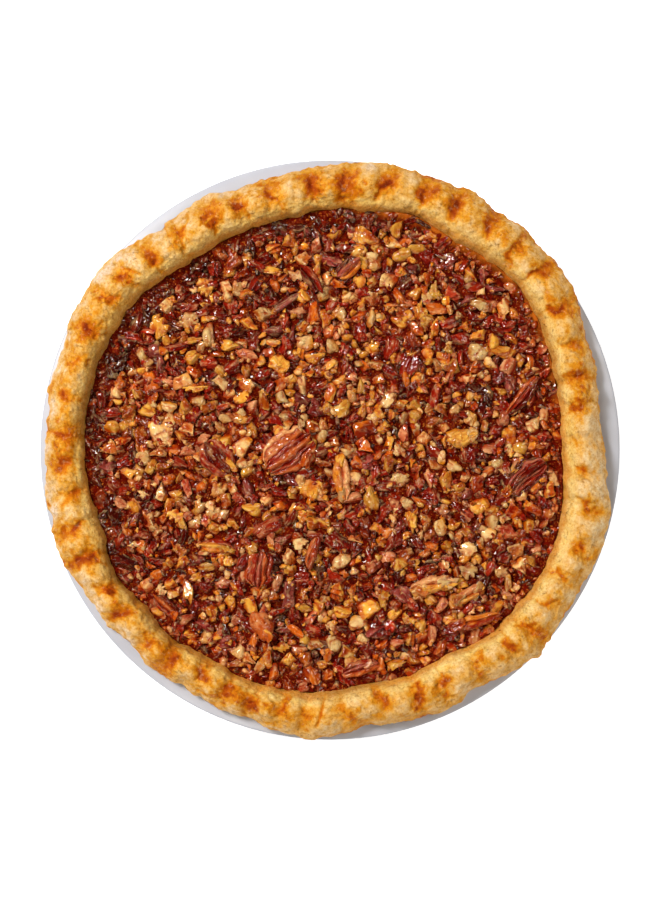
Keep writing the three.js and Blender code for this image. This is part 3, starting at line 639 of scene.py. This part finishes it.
def make_crust():
    sides = 1176
    angle = even_angles(sides)
    press = crimp_press(angle)
    rings, shares, shown = crust_rings(angle, press)
    normal = np.cross(np.roll(rings, -1, 1) - np.roll(rings, 1, 1), np.gradient(rings, axis=0))
    normal /= np.linalg.norm(normal, axis=2, keepdims=True) + 1e-9
    points, normal = rings.reshape(-1, 3), normal.reshape(-1, 3)
    share, shown = np.repeat(shares, sides), np.repeat(shown, sides)
    theta, pressed = np.tile(angle, len(rings)), np.tile(press, len(rings))
    radius = np.hypot(points[:, 0], points[:, 1])
    lit = 0.5 + 0.5 * np.cos(theta - LIT_SIDE)

    # Along and across the rim
    warp = [layered(points, (1.7, 4.5, 31), (1, 1.9, 39)), layered(points, (2.2, 4.5, 32), (1, 1.9, 40))]
    # Fine streaks that run across the rim
    lengthwise = np.column_stack([theta * RIM_RADIUS / 0.9, radius / 4.5, 0 * theta])
    streak = 0.22 * lumps(lengthwise, 1, 46) + 0.12 * lumps(lengthwise * 2.1, 1, 47)
    brown, deep = crimp_marks(points, theta, radius, warp, streak)
    relief = layered(points, (0.45, 7.5, 21), (0.4, 3.6, 22), (0.34, 1.8, 23), (0.22, 1, 24))
    relief += 0.7 * streak * (0.3 + pressed) - deep
    brown += browning(points, theta, share, pressed, relief, lit)
    syrup, soaked = syrup_on_crust(points, theta, share)
    for *line, width, depth, dark in CRACKS:
        gap = bell(near_line(theta, radius + 0.5 * warp[1], line), width)
        relief -= depth * gap
        brown += dark * gap
    leaf = near_line(theta, radius, LEAF)
    leaf_rise = smooth(LEAF_HALF, 1.3, leaf + 0.25 * lumps(points, 1.5, 37))
    relief += 0.8 * leaf_rise
    brown += 0.3 * bell(leaf - LEAF_HALF, 0.45) + 0.1 * leaf_rise

    relief *= shown * mix(0.35, 1, smooth(0, 0.12, share))
    points = points + normal * relief[:, None]
    points[:, 2] = np.minimum(points[:, 2], CRUST_TOP)
    on_lip = (share > 0.9) & (np.arange(len(points)) >= 2 * sides)
    points[on_lip, 2] = np.maximum(points[on_lip, 2], LIP_LEVEL)
    tint = crust_tint(points, brown, share, relief, lit, syrup, soaked)
    tint = np.column_stack([np.concatenate([tint, tint[:1], tint[-1:]]), np.ones(len(tint) + 2)])
    points, faces = closed_skin(points.reshape(rings.shape))
    crust = make_piece("crimped_crust", points, faces, crust_material(), tint)
    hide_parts("crust")


# ---- Custard ----

# The middle, in degrees, of the stretch where clear syrup stands along the crust, and its colour
AMBER_MIDDLE = 46
AMBER = (204, 106, 26)


def custard_level(x, y):
    return FILLING_LEVEL + FILLING_DOME * (1 - (x * x + y * y) / HEAP_RADIUS**2)


def custard_height(x, y):
    height = custard_level(x, y) + 0.3
    for rise, length, bearing in BUMPS:
        along, _ = rotated(x, y, -math.radians(bearing))
        height = height + rise * np.sin(along / length * TURN)
    return height


def amber_band(x, y):
    """How far the custard is clear amber syrup, as it is along the crust at the right"""
    off = np.abs(degrees_from(np.arctan2(y, x), AMBER_MIDDLE))
    return smooth(42, 28, off) * smooth(3.8, 0.4, crust_gap(x, y))


def custard_material():
    look = Look("caramel_custard")
    colour = look.mixed(look.patches((5.5, 4), 0.35, 0.68), (68, 4, 1), (108, 15, 3))
    colour = look.mixed(look.patches((1.3, 4, 0.7), 0.54, 0.7, 0, 0.6), colour, (172, 71, 18))
    colour = look.mixed(look.patches((0.9, 2, 0.5), 0.6, 0.68, 0, 0.75), colour, (204, 116, 40))
    colour = look.mixed(look.patches((2.1, 3, 0.6), 0.46, 0.36, 0, 0.7), colour, (40, 2, 2))
    amber, share = look.tint()
    swell = look.bump(look.noise(3.0, 3), 0.9, 0.9)
    return look.finish(
        Base_Color=look.mixed(share, colour, amber),
        Roughness=look.patches((2.3, 2), 0.3, 0.7, 0.1, 0.3),
        Coat_Weight=0.7, Coat_Roughness=0.05, Specular_IOR_Level=0.1, Specular_Tint=(1, 0.36, 0.14, 1),
        Coat_Normal=look.bump(look.noise(2.2, 1, 0.5), 0.35),
        Normal=look.bump(look.noise(1.3, 2, 0.5), 0.3, 0.9, swell),
    )


def make_custard():
    angle = even_angles(300)
    edge = around_ring(INNER_EDGE, angle) + 0.15
    rings = [ring((edge - 8) * 0.8, 10.1, angle), ring(edge - 5.5, 29, angle)]
    ambers = [np.zeros(len(angle))] * 2
    for share in np.sqrt(np.linspace(1, 0.00004, 84)):
        spots = ring(share * edge, 0, angle)
        x, y, _ = spots.T
        amber = amber_band(x, y)
        ambers.append(amber * np.clip(0.75 + layered(spots, (0.6, 3.4, 52), (0.3, 1.2, 54)), 0, 1))
        climb = (0.3 + 0.3 * amber) * smooth(1.6, 0, edge * (1 - share))
        height = custard_height(x, y) + layered(spots, (0.35, 5, 41), (0.28, 2.2, 42)) + climb
        rings.append(np.column_stack([x, y, height]))
    points, faces = closed_skin(np.array(rings))
    glow = mix(0.45, 1.25, 0.5 + 0.5 * lumps(points, 2.4, 53))
    tint = np.column_stack([linear(AMBER) * glow[:, None], np.concatenate(ambers + [np.zeros(2)])])
    custard = make_piece("caramel_custard", points, faces, custard_material(), tint)
    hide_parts("filling")


# ---- Chopped pecans ----

HALF = {"length": 14.5, "width": 9, "back": 7, "belly": 3, "ridges": 6}
# Past every face of a chunk
FAR = 99.0
# How far off and in how many halvings a chunk's skin is sought, and how sharply it meets the cuts
SEARCH_REACH = 24.0
SEARCH_STEPS = 22
SHARPNESS = 26.0

LONG_LOOKS = ("red", "dark", "purple")
# The mixes of looks: in general, of small pieces, at the bottom, and in the strip along the crust, where
# darker looks paint the crust's shadow
MIX = {"pale": 0.15, "golden": 0.29, "amber": 0.14, "red": 0.22, "dark": 0.06, "rosy": 0.09, "purple": 0.05}
SMALL_MIX = {"pale": 0.24, "golden": 0.32, "amber": 0.14, "red": 0.18, "dark": 0.06, "rosy": 0.06}
BED_MIX = {"golden": 0.1, "amber": 0.16, "red": 0.4, "dark": 0.28, "rosy": 0.06}
CRUST_SHADOW_MIX = {"red": 0.42, "dark": 0.26, "purple": 0.22, "amber": 0.1}
CRUST_SHADOW_WIDTH = 8
CRUST_SHADOW_MIDDLE = math.radians(140)
# The scattered nuts, from the bottom up: how many forms, the share of their triangles that is kept, how many
# nuts, how long, how far apart, how far off the large pecans, looks, rise, tilt, sunk depth and lightness
BATCHES = {
    # The bottom layer's lower lightness is painted shade in the gaps between pieces
    "chopped_bed": (18, 0.01, 1000, (7.5, 5.5), 0.31, -2, BED_MIX, (0.6, 1.6), 0.5, 0.6, 0.72),
    "chopped_large": (32, 0.117, 200, (11, 7.5), 0.36, -1.5, MIX, (2.2, 3.4), 0.35, 0.3, 1),
    "chopped_medium": (36, 0.048, 1150, (8.6, 5.6), 0.31, -3.2, MIX, (1.7, 3.1), 0.5, 0.3, 1),
    "chopped_small": (24, 0.022, 950, (5.2, 3.2), 0.28, -3.6, SMALL_MIX, (1.5, 2.9), 0.6, 0.3, 1),
    "crumbs": (12, 0.008, 400, (2.9, 1.7), 0.5, -3, SMALL_MIX, (1.8, 3.0), 0.8, 0.3, 1),
}
# These lie without regard to other nuts
LOOSE = ("chopped_bed", "crumbs")
# The nuts placed one by one: how many degrees they turn aside, how far they rise, how far they tilt
PLACED_SWAY = 12
PLACED_RISES = (2.8, 3.6)
PLACED_TILT = 0.2
# The scattered ones lie within this radius, and a nut is at most about this thick
SPREAD_RADIUS = 104
NUT_THICKEST = 7


def inside_half(points):
    """Whether points lie in a pecan half: ridged back upwards, grooved belly below"""
    x, y, z = points.T
    taper = np.sqrt(np.maximum(1 - (x / HALF["length"]) ** 2, 0))
    v = y / (HALF["width"] * taper + 1e-6)
    roundness = np.sqrt(np.maximum(1 - v * v, 0))
    ridge = 1 - 0.34 * (0.5 + 0.5 * np.cos(TURN * HALF["ridges"] * (v + 1) / 2 + 0.3 * np.sin(x * 0.5)))
    ridge -= 0.03 * np.cos(x * 2.3 + 3 * v)
    groove = 1 - 0.8 * bell(y, 1.6) + 0.1 * np.cos(x * 1.7 + y)
    back = HALF["back"] * taper**0.7 * roundness**0.75 * ridge
    return (np.abs(v) < 1) & (z < back) & (z > -HALF["belly"] * taper * roundness * groove)


def reach_to_cut(directions, normal, distance):
    """How far each direction runs before it meets a flat cut"""
    facing = directions @ normal
    return np.where(facing > 0.02, np.minimum(distance / np.maximum(facing, 0.02), FAR), FAR)


def chunk(number, directions):
    """A chopped piece of a pecan half: its reach along each direction, skin, crumble and cuts' normals"""
    draw = make_draw(900 + number)
    centre = np.array([mix(-0.6, 0.6, draw()) * HALF["length"], mix(-0.55, 0.55, draw()) * HALF["width"],
                       mix(0.5, 2.6, draw())])
    turn = draw() * TURN
    length, width = mix(3.2, 6.2, draw()), mix(1.8, 3.8, draw())
    cuts = []
    for i, half in enumerate((length, width, length, width)):
        azimuth = turn + i * TURN / 4 + mix(-0.45, 0.45, draw())
        lean = mix(-0.5, 0.5, draw())
        cuts.append((direction(azimuth, math.cos(lean), math.sin(lean)), half * mix(0.7, 1.1, draw())))
    for _ in range(3):
        normal = np.array([mix(-1, 1, draw()) for _ in range(3)])
        cuts.append((normal / np.linalg.norm(normal), mix(2.3, 4.6, draw())))
    low, high = np.zeros(len(directions)), np.full(len(directions), SEARCH_REACH)
    for _ in range(SEARCH_STEPS):
        middle = (low + high) / 2
        inside = inside_half(centre + directions * middle[:, None])
        low, high = np.where(inside, middle, low), np.where(inside, high, middle)
    skin_reach = np.maximum(low, 0.3)
    cut_reach = np.min([reach_to_cut(directions, *cut) for cut in cuts], 0)
    reach = 1 / (skin_reach**-SHARPNESS + cut_reach**-SHARPNESS) ** (1 / SHARPNESS)
    crumble = layered(directions * reach[:, None] + number * 31, (0.62, 2.5, 51), (0.38, 1.2, 52))
    cut = smooth(0.96, 1.04, skin_reach / cut_reach)
    reach = reach * (1 + 0.34 * crumble * mix(0.35, 1, cut))
    return reach, 1 - cut, crumble, [normal for normal, _ in cuts[:4]]


def knob(number, directions):
    """A crumbled piece of flesh, a cluster of rounded knobs: its reach along each direction, skin, crumble"""
    draw = make_draw(1700 + number)

    def drawn_direction(steepest):
        turn, height = draw() * TURN, mix(-steepest, steepest, draw())
        return direction(turn, math.sqrt(1 - height * height), height)

    stretch = np.array([mix(1.0, 1.8, draw()), 1, 0.8])
    reaches = []
    for _ in range(4 + int(4 * draw())):
        way, radius = drawn_direction(1), mix(1.5, 2.4, draw())
        centre = way * stretch * mix(0.9, 1.6, draw())
        along = directions @ centre
        inside = np.maximum(radius * radius - centre @ centre + along * along, 0)
        reaches.append(np.maximum(along + np.sqrt(inside), 1.2))
    *_, second, whole = np.sort(reaches, axis=0)
    sliced = [reach_to_cut(directions, drawn_direction(0.9), mix(1.2, 2.5, draw())) for _ in range(8)]
    reach = np.minimum(whole, np.min(sliced, 0))
    uncut = smooth(0.1, 0, whole - reach)
    spots = directions * reach[:, None] + number * 29
    crumble = layered(spots, (0.6, 1.6, 53), (0.4, 0.8, 54))
    meeting = smooth(0.55, 0, whole - second) * smooth(0, 0.6, whole - 1.2) * uncut
    skin = 0.85 * smooth(0.15, 0.5, lumps(spots, 3.2, 55)) * uncut
    return reach * (1 + 0.13 * crumble), skin, crumble * 0.5 + 0.3 - 0.9 * meeting


def thinned(points, triangles, values, kept):
    """The same form with a share of its triangles, and the two values kept at its points"""
    mesh = bpy.data.meshes.new("chunk_work")
    mesh.from_pydata(points.tolist(), [], triangles)
    stacked = np.column_stack([*values, np.zeros(len(points))])
    mesh.attributes.new("values", "FLOAT_VECTOR", "POINT").data.foreach_set("vector", stacked.ravel())
    work = add_object("chunk_work", mesh)
    modifier = work.modifiers.new("thin", "DECIMATE")
    modifier.ratio = kept
    modifier.use_collapse_triangulate = True
    evaluated = work.evaluated_get(bpy.context.evaluated_depsgraph_get())
    result = evaluated.to_mesh()
    points = np.array([v.co for v in result.vertices])
    faces = np.array([p.vertices for p in result.polygons])
    values = np.array([v.vector[:2] for v in result.attributes["values"].data])
    evaluated.to_mesh_clear()
    bpy.data.objects.remove(work)
    bpy.data.meshes.remove(mesh)
    return points, faces, values


def library(count, kept):
    """Chunks in unit boxes, long way along X, by the form that faces up"""
    work = bmesh.new()
    bmesh.ops.create_icosphere(work, subdivisions=5, radius=1)
    directions = np.array([v.co for v in work.verts])
    directions /= np.linalg.norm(directions, axis=1, keepdims=True)
    triangles = [[v.index for v in f.verts] for f in work.faces]
    work.free()
    shapes = {form: [] for form in FORMS}
    for number in range(count):
        draw = make_draw(4000 + number)
        a, b = mix(-0.35, 0.35, draw()), mix(-0.35, 0.35, draw())
        if number % 2:
            reach, *values = knob(number, directions)
            sides = [("knob", (a, b, 1)), ("knob", (b, a, -1))]
        else:
            reach, *values, normals = chunk(number, directions)
            sides = [("skin", (a, b, 1)), ("cut", normals[number // 2 % 4]), ("cut", (b, a, -1))]
        points, faces, values = thinned(directions * reach[:, None], triangles, values, kept)
        for kind, up in sides:
            upright = Vector(up).rotation_difference(Vector((0, 0, 1))).to_matrix()
            x, y, z = (points @ np.array(upright).T).T
            dx, dy = x - x.mean(), y - y.mean()
            angle = 0.5 * math.atan2(2 * (dx * dy).sum(), (dx**2).sum() - (dy**2).sum())
            turned = np.column_stack([*rotated(x, y, -angle), z])
            low, high = turned.min(0), turned.max(0)
            shapes[kind].append(((turned - (low + high) / 2) / (high - low), faces, values))
    return shapes


def nut_material():
    look = Look("glazed_nut")
    tint, skin = look.tint()
    grain = look.add("Attribute", {}, attribute_name="grain").outputs["Vector"]
    along = look.math("MULTIPLY", grain, (0.3, 1, 1), "VectorMath")
    wander = look.add("TexNoise", {"Vector": grain, "Scale": 1 / (1.6 * MM), "Detail": 2}).outputs["Color"]
    wander = look.math("MULTIPLY", wander, (1.5 * MM, 1.5 * MM, 1.5 * MM), "VectorMath")
    ridge = look.noise(1.5, 2, 0.5, 0.2, along)
    cells = {"Vector": look.math("ADD", grain, wander, "VectorMath"), "Scale": 1 / (2.4 * MM)}
    edges = look.add("TexVoronoi", cells, feature="DISTANCE_TO_EDGE").outputs["Distance"]
    crease = look.times(look.spread(edges, 0.03, 0.22, 1, 0), look.patches((5, 2, 0.5, 0, grain), 0.4, 0.55))
    dark = look.stained(tint, SYRUP_STAIN)
    # Painted highlight: the raised ridge streaks are painted lighter, more on flesh than on skin
    tone_and_painted_light = look.mixed(look.spread(skin, 0, 1, 0.35, 0.12), tint, (255, 216, 150))
    colour = look.mixed(look.spread(ridge, 0.5, 0.66, 0, 0.8), tint, tone_and_painted_light)
    worn = look.spread(skin, 0, 1, 0.35, 0.5)
    puddle = look.times(look.patches((2.8, 4, 0.6, 0.3), 0.56, 0.66), look.spread(skin, 0, 1, 0.1, 0.4))
    for share in (look.times(look.spread(ridge, 0.46, 0.32), worn), look.times(crease, worn), puddle):
        colour = look.mixed(share, colour, dark)
    wrinkle = look.bump(crease, -0.25, 1, look.bump(ridge, 0.4, 0.9))
    return look.finish(
        Base_Color=colour,
        Roughness=look.math("ADD", look.patches((1.7, 2), 0.3, 0.7, 0.25, 0.5), look.times(skin, -0.06)),
        Coat_Weight=0.75, Coat_Roughness=0.04, Subsurface_Weight=0.08, Subsurface_Scale=0.0012,
        Specular_IOR_Level=0.12, Specular_Tint=(1, 0.36, 0.14, 1),
        Normal=look.bump(look.noise(1.0, 2, 0.5, 0, grain), 0.13, 0.9, wrinkle),
        Coat_Normal=look.bump(look.noise(1.4, 1, 0.5, 0, grain), 0.22),
    )


def colour_nut(points, raised, values, look, tone_and_painted_light, seed, ground):
    """Colours of a nut's points: flesh, painted paler towards its top as painted light, and skin, with dark
    syrup in its hollows and where it is sunk
    """
    flesh, side, hide = linear(LOOKS[look][:3])
    skin, crumble = values.T
    patch = 0.5 + 0.5 * lumps(points, 2.6, seed)
    # Painted light: the flesh is paler towards the nut's top, with random patches
    pale = np.clip(smooth(-0.05, 0.4, raised) + 1.1 * (patch - 0.6), 0, 1)
    share = np.clip(skin * mix(0.75, 1, patch), 0, 1)
    tint = mix(mix(side, flesh, pale[:, None]), hide, share[:, None]) * tone_and_painted_light
    tint = stained(tint, 0.85 * smooth(0.1, -0.5, crumble))
    return np.column_stack([stained(tint, 0.95 * smooth(1.4, 0.1, points[:, 2] - ground)), skin])


def in_large_pecan(x, y, margin):
    for _, at, size, turn, *_rest in PECANS:
        along, across = rotated(x - at[0], y - at[1], -math.radians(turn))
        half_length, half_width = (max(side / 2 + margin, side / 4) for side in size[:2])
        if (along / half_length) ** 2 + (across / half_width) ** 2 < 1:
            return True
    return False


def in_crust_shadow_strip(x, y):
    """Whether a place lies in the strip along the crust on the left and at the back, where the crust's shadow
    is painted
    """
    return crust_gap(x, y) < CRUST_SHADOW_WIDTH and math.cos(math.atan2(y, x) - CRUST_SHADOW_MIDDLE) > 0.35


def spread_places(count, lengths, spacing, seed, taken, margin):
    """Places for pieces, longest first, each as far from the others as their sizes ask"""
    draw = make_draw(seed)
    places = []
    known = np.array(taken or [(1e6, 1e6, 0)], float)
    for i in range(count):
        length = mix(*lengths, (i / count) ** 0.7)
        for _ in range(40):
            radius, angle = SPREAD_RADIUS * math.sqrt(draw()), draw() * TURN
            x, y = radius * math.cos(angle), radius * math.sin(angle)
            gap = crust_gap(x, y)
            # Painted shadow: fewer nuts in the strip along the crust, so the dark custard shows
            bare = gap < 5 and in_crust_shadow_strip(x, y) and draw() < 0.4
            bare = bare or amber_band(x, y) > 0.7
            if gap < length * 0.18 or bare or in_large_pecan(x, y, margin + length * 0.1):
                continue
            if (np.hypot(known[:, 0] - x, known[:, 1] - y) > spacing * (known[:, 2] + length)).all():
                known = np.vstack([known, (x, y, length)])
                places.append((x, y, length))
                break
    return places


def pick(draw, shares):
    value = draw() * sum(shares.values())
    for name, share in shares.items():
        value -= share
        if value < 0:
            break
    return name


def lay_nuts(name, items, shapes, seed, material, sunk, tone_and_painted_light):
    """One piece of many nuts. items: (x, y, length, width, turn, look, rise, tilt)"""
    draw = make_draw(seed)
    nuts, count = [], 0
    for number, (x, y, length, width, turn, look, rise, tilt) in enumerate(items):
        choice = shapes[pick(draw, dict(zip(FORMS, LOOKS[look][3])))]
        unit, faces, values = choice[int(draw() * len(choice))]
        points = unit * np.array([length, width, min(width, NUT_THICKEST) * mix(0.8, 1.05, draw())])
        grain = points + np.array([number * 7.3, number * 3.1, 0])
        if draw() < 0.5:
            points = points * np.array([-1, 1, 1])
            faces = faces[:, ::-1]
        px, py, pz = points.T
        py, pz = rotated(py, pz, tilt * mix(-1, 1, draw()))
        pz, px = rotated(pz, px, tilt * mix(-1, 1, draw()))
        px, py = rotated(px, py, turn)
        ground = custard_height(x, y)
        rise = rise * min(max(crust_gap(x, y) / 6, 0.5), 1)
        points = np.column_stack([px + x, py + y, pz + (ground + rise - pz.max())])
        # Random lightness, times the batch's, which is painted shade for the bottom layer, and darker in the
        # strip along the crust as painted shadow
        shade_by = tone_and_painted_light * mix(0.6, 1.08, draw()) * (0.7 if in_crust_shadow_strip(x, y) else 1)
        tint = colour_nut(points, unit[:, 2], values, look, shade_by, 61 + number % 5, ground + sunk)
        nuts.append((points, faces + count, tint, grain))
        count += len(points)
    points, faces, tint, grain = map(np.concatenate, zip(*nuts))
    make_piece(name, points, faces.tolist(), material, tint, grain)


def long_way(across, deep, turn=0):
    """The length, width and turn of a nut, from its sizes along X and Y"""
    return (deep, across, 90) if deep > across else (across, deep, turn)


def make_chopped(material):
    draw = make_draw(77)
    placed = []
    for look, rows in STANDING_OUT.items():
        for x, y, *sizes in rows:
            length, width, turn = long_way(*sizes)
            turn = math.radians(turn + mix(-PLACED_SWAY, PLACED_SWAY, draw()))
            placed.append((x, y, length, width, turn, look, mix(*PLACED_RISES, draw()), PLACED_TILT))
    taken = [(x, y, (length + width) / 2) for x, y, length, width, *_ in placed]
    for x, y, length, width, turn, look, rise in ON_PECANS:
        placed.append((x, y, length, width, math.radians(turn), look, rise, PLACED_TILT))
    for i, (name, batch) in enumerate(BATCHES.items()):
        forms, kept, count, lengths, spacing, margin, shares, rises, tilt, sunk, tone_and_painted_light = batch
        places = spread_places(count, lengths, spacing, 100 + i, [] if name in LOOSE else taken, margin)
        items = []
        for x, y, length in places:
            look = pick(draw, CRUST_SHADOW_MIX if in_crust_shadow_strip(x, y) else shares)
            if look in LONG_LOOKS:
                length *= 1.2
            width = length * mix(*LOOKS[look][4], draw())
            items.append((x, y, length, width, draw() * TURN, look, mix(*rises, draw()), tilt))
        if name == "chopped_large":
            items = placed + items
            taken = taken + places
        lay_nuts(name, items, library(forms, kept), 200 + i, material, sunk, tone_and_painted_light)


# ---- Large pecans ----


def make_pecan(place, at, size, turn, ends, bend, tones, material, number):
    length, width, height = size
    stations, around = 56, 64
    share = np.concatenate([[0, 0, 0], np.linspace(0, 1, stations), [1, 1, 1]])[:, None]
    shrink = np.concatenate([[0.15, 0.6, 0.9], np.ones(stations), [0.9, 0.6, 0.15]])[:, None]
    from_middle = np.abs(2 * share - 1)
    fullness = mix(np.where(share < 0.5, *ends), 1, (1 - from_middle**2.6) ** 0.7)
    along, across = np.broadcast_arrays(share, np.linspace(0, 1, around)[::-1])
    aside = np.abs(2 * across - 1)

    def noise(long, wide, seed):
        spots = [(along * length / long).ravel() + 9 * number, (across * width / wide).ravel()]
        return lumps(np.column_stack([*spots, 0 * spots[0]]), 1, seed).reshape(along.shape)

    # Ridges side by side, with a groove between each two
    shifted = across + 0.02 * np.sin(math.pi * across) * np.sin(4 * along + number)
    groove, roundness = np.zeros(along.shape), np.ones(along.shape)
    for line in range(1, len(tones)):
        middle = (line + 0.16 * math.sin(9 * line + number)) / len(tones)
        gap = (shifted - middle + 0.02 * noise(3.4, 99, 76 + line)) * width
        deep = mix(0.45, 1, smooth(-0.7, 0.2, noise(4, 99, 86 + line)))
        groove = np.maximum(groove, bell(gap, 0.5) * deep)
        roundness = np.minimum(roundness, 1 - 0.55 * np.exp(-np.abs(gap) / 0.8) * deep)
    pits = smooth(0.3, 0.75, noise(2.4, 1.2, 74))
    dome = np.sqrt(np.maximum(1 - aside**2, 0)) ** 0.85 * roundness
    rise = height * mix(0.75, 1, fullness) * dome * (1 - 0.08 * pits + 0.07 * noise(2, 1.5, 71))
    side = np.where(across < 0.5, noise(3, 1e6, 77), noise(3, 1e6, 78)) * 0.17
    x = (along - 0.5) * length * (1 - 0.1 * aside**2) + 1.1 * noise(1e6, 2.2, 79) * (2 * along - 1)
    x += 0.35 * (1 - shrink) * np.sign(along - 0.5)
    y = (across - 0.5) * width * fullness * (1 + side) * shrink + bend * (1 - from_middle**2)
    points, faces = closed_skin(np.stack([x, y, mix(height * 0.35, rise, shrink)], -1))
    poles = [0, 0]
    grain = points + number * 57

    # Each ridge has its tone, worn in places and painted paler on its crest as a painted highlight, with
    # syrup in the grooves and along the edges
    colours = linear([RIDGE_TONES[tone] for tone in tones])
    ridge = np.append(shifted * len(tones) + 0.3 * noise(2.6, 1.4, 83), poles) - 0.5
    lower = np.clip(np.floor(ridge).astype(int), 0, len(tones) - 1)
    upper = np.clip(lower + (ridge > 0), 0, len(tones) - 1)
    tint = mix(colours[lower], colours[upper], smooth(0.2, 0.8, ridge - lower)[:, None])
    worn = np.append(smooth(0.05, 0.5, noise(3.6, 2, 80)), poles)
    # Painted highlight: crests away from the grooves are painted paler in random patches
    pale = np.append(smooth(0.1, 0.7, noise(2.2, 1.3, 82)) * smooth(0.75, 1, roundness), poles)
    tint = mix(tint, linear(RIDGE_TONES["c"]), (0.3 * pale)[:, None])
    tint = stained(tint, np.maximum(0.95 * np.append(groove, poles), 0.4 * worn))
    edges = 0.7 * smooth(0.82, 1, aside) + 0.3 * pits * smooth(1, 0.8, shrink)
    tint = stained(tint, np.append(edges, poles))

    px, py, pz = points.T
    lump = layered(grain, (0.13, 1.1, 72), (0.16, 2.2, 73))
    pz = np.clip(pz + lump * smooth(0, 1.2, pz), 0, height)
    px, py = rotated(px, py, math.radians(turn))
    points = np.column_stack([px + at[0], py + at[1], pz + custard_level(*at) + PECAN_SEAT])
    tint = np.column_stack([stained(tint, 0.95 * smooth(1.6, 0.2, pz)), np.full(len(points), 0.7)])
    piece = make_piece("glazed_pecan_" + place, points, faces, material, tint, grain)
    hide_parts("pecan_" + place)


# ---- Scene ----

# In metres
FLOOR_HALF = 4
CAMERA_HEIGHT = 0.932
# Just under the dish's foot
FLOOR_LEVEL = -0.0001
# The lamps: azimuth and elevation in degrees, distance and size in metres, power, colour
LAMPS = {
    "key": (146, 50, 1.3, 0.34, 16.5, (1, 0.985, 0.96)),
    "fill_right": (25, 52, 1.5, 0.4, 5, (1, 0.93, 0.82)),
    "fill_front": (250, 48, 1.5, 0.4, 5, (1, 0.93, 0.82)),
    "fill_low": (325, 36, 1.5, 0.4, 2, (1, 0.9, 0.74)),
}


def make_floor():
    look = Look("studio_floor")
    colour = look.mixed(look.patches((60, 2), 0.3, 0.7), (250, 250, 250), (252, 252, 252))
    look.finish(Base_Color=colour, Roughness=0.9, Specular_IOR_Level=0.1, Emission_Color=(1, 1, 1, 1),
                Emission_Strength=0.6)
    mesh = bpy.data.meshes.new("studio_floor")
    signs = [(-1, -1), (1, -1), (1, 1), (-1, 1)]
    mesh.from_pydata([(a * FLOOR_HALF, b * FLOOR_HALF, FLOOR_LEVEL) for a, b in signs], [], [(0, 1, 2, 3)])
    mesh.materials.append(look.owner)
    floor = add_object("studio_floor", mesh)


def make_lamp(name, azimuth, elevation, distance, size, power, colour):
    data = bpy.data.lights.new(name, "AREA")
    data.shape, data.size, data.energy, data.color = "DISK", size, power, colour
    lamp = add_object(name, data)
    lean = math.radians(elevation)
    towards = Vector(direction(math.radians(azimuth), math.cos(lean), math.sin(lean)))
    lamp.location = towards * distance
    lamp.rotation_mode = "QUATERNION"
    lamp.rotation_quaternion = towards.to_track_quat("Z", "Y")


def make_world():
    """A pale room, brighter at the walls than overhead"""
    look = Look("studio", bpy.data.worlds)
    height = look.add("SeparateXYZ", {0: look.coordinates["Generated"]}).outputs["Z"]
    bpy.context.scene.world = look.finish(
        "Background", Color=(1, 1, 1, 1), Strength=look.spread(height, 0.4, 0.8, 0.09, 0.01))


def make_camera():
    data = bpy.data.cameras.new("camera")
    data.lens, data.sensor_width = 85, 36
    camera = add_object("camera", data)
    camera.location = (0, 0, CAMERA_HEIGHT)
    bpy.context.scene.camera = camera


make_dish()
make_crust()
make_custard()
nut = nut_material()
make_chopped(nut)
for number, pecan in enumerate(PECANS):
    make_pecan(*pecan, nut, number)
make_floor()
for name, lamp in LAMPS.items():
    make_lamp(name, *lamp)
make_world()
make_camera()
bpy.context.scene.view_settings.view_transform = "Standard"
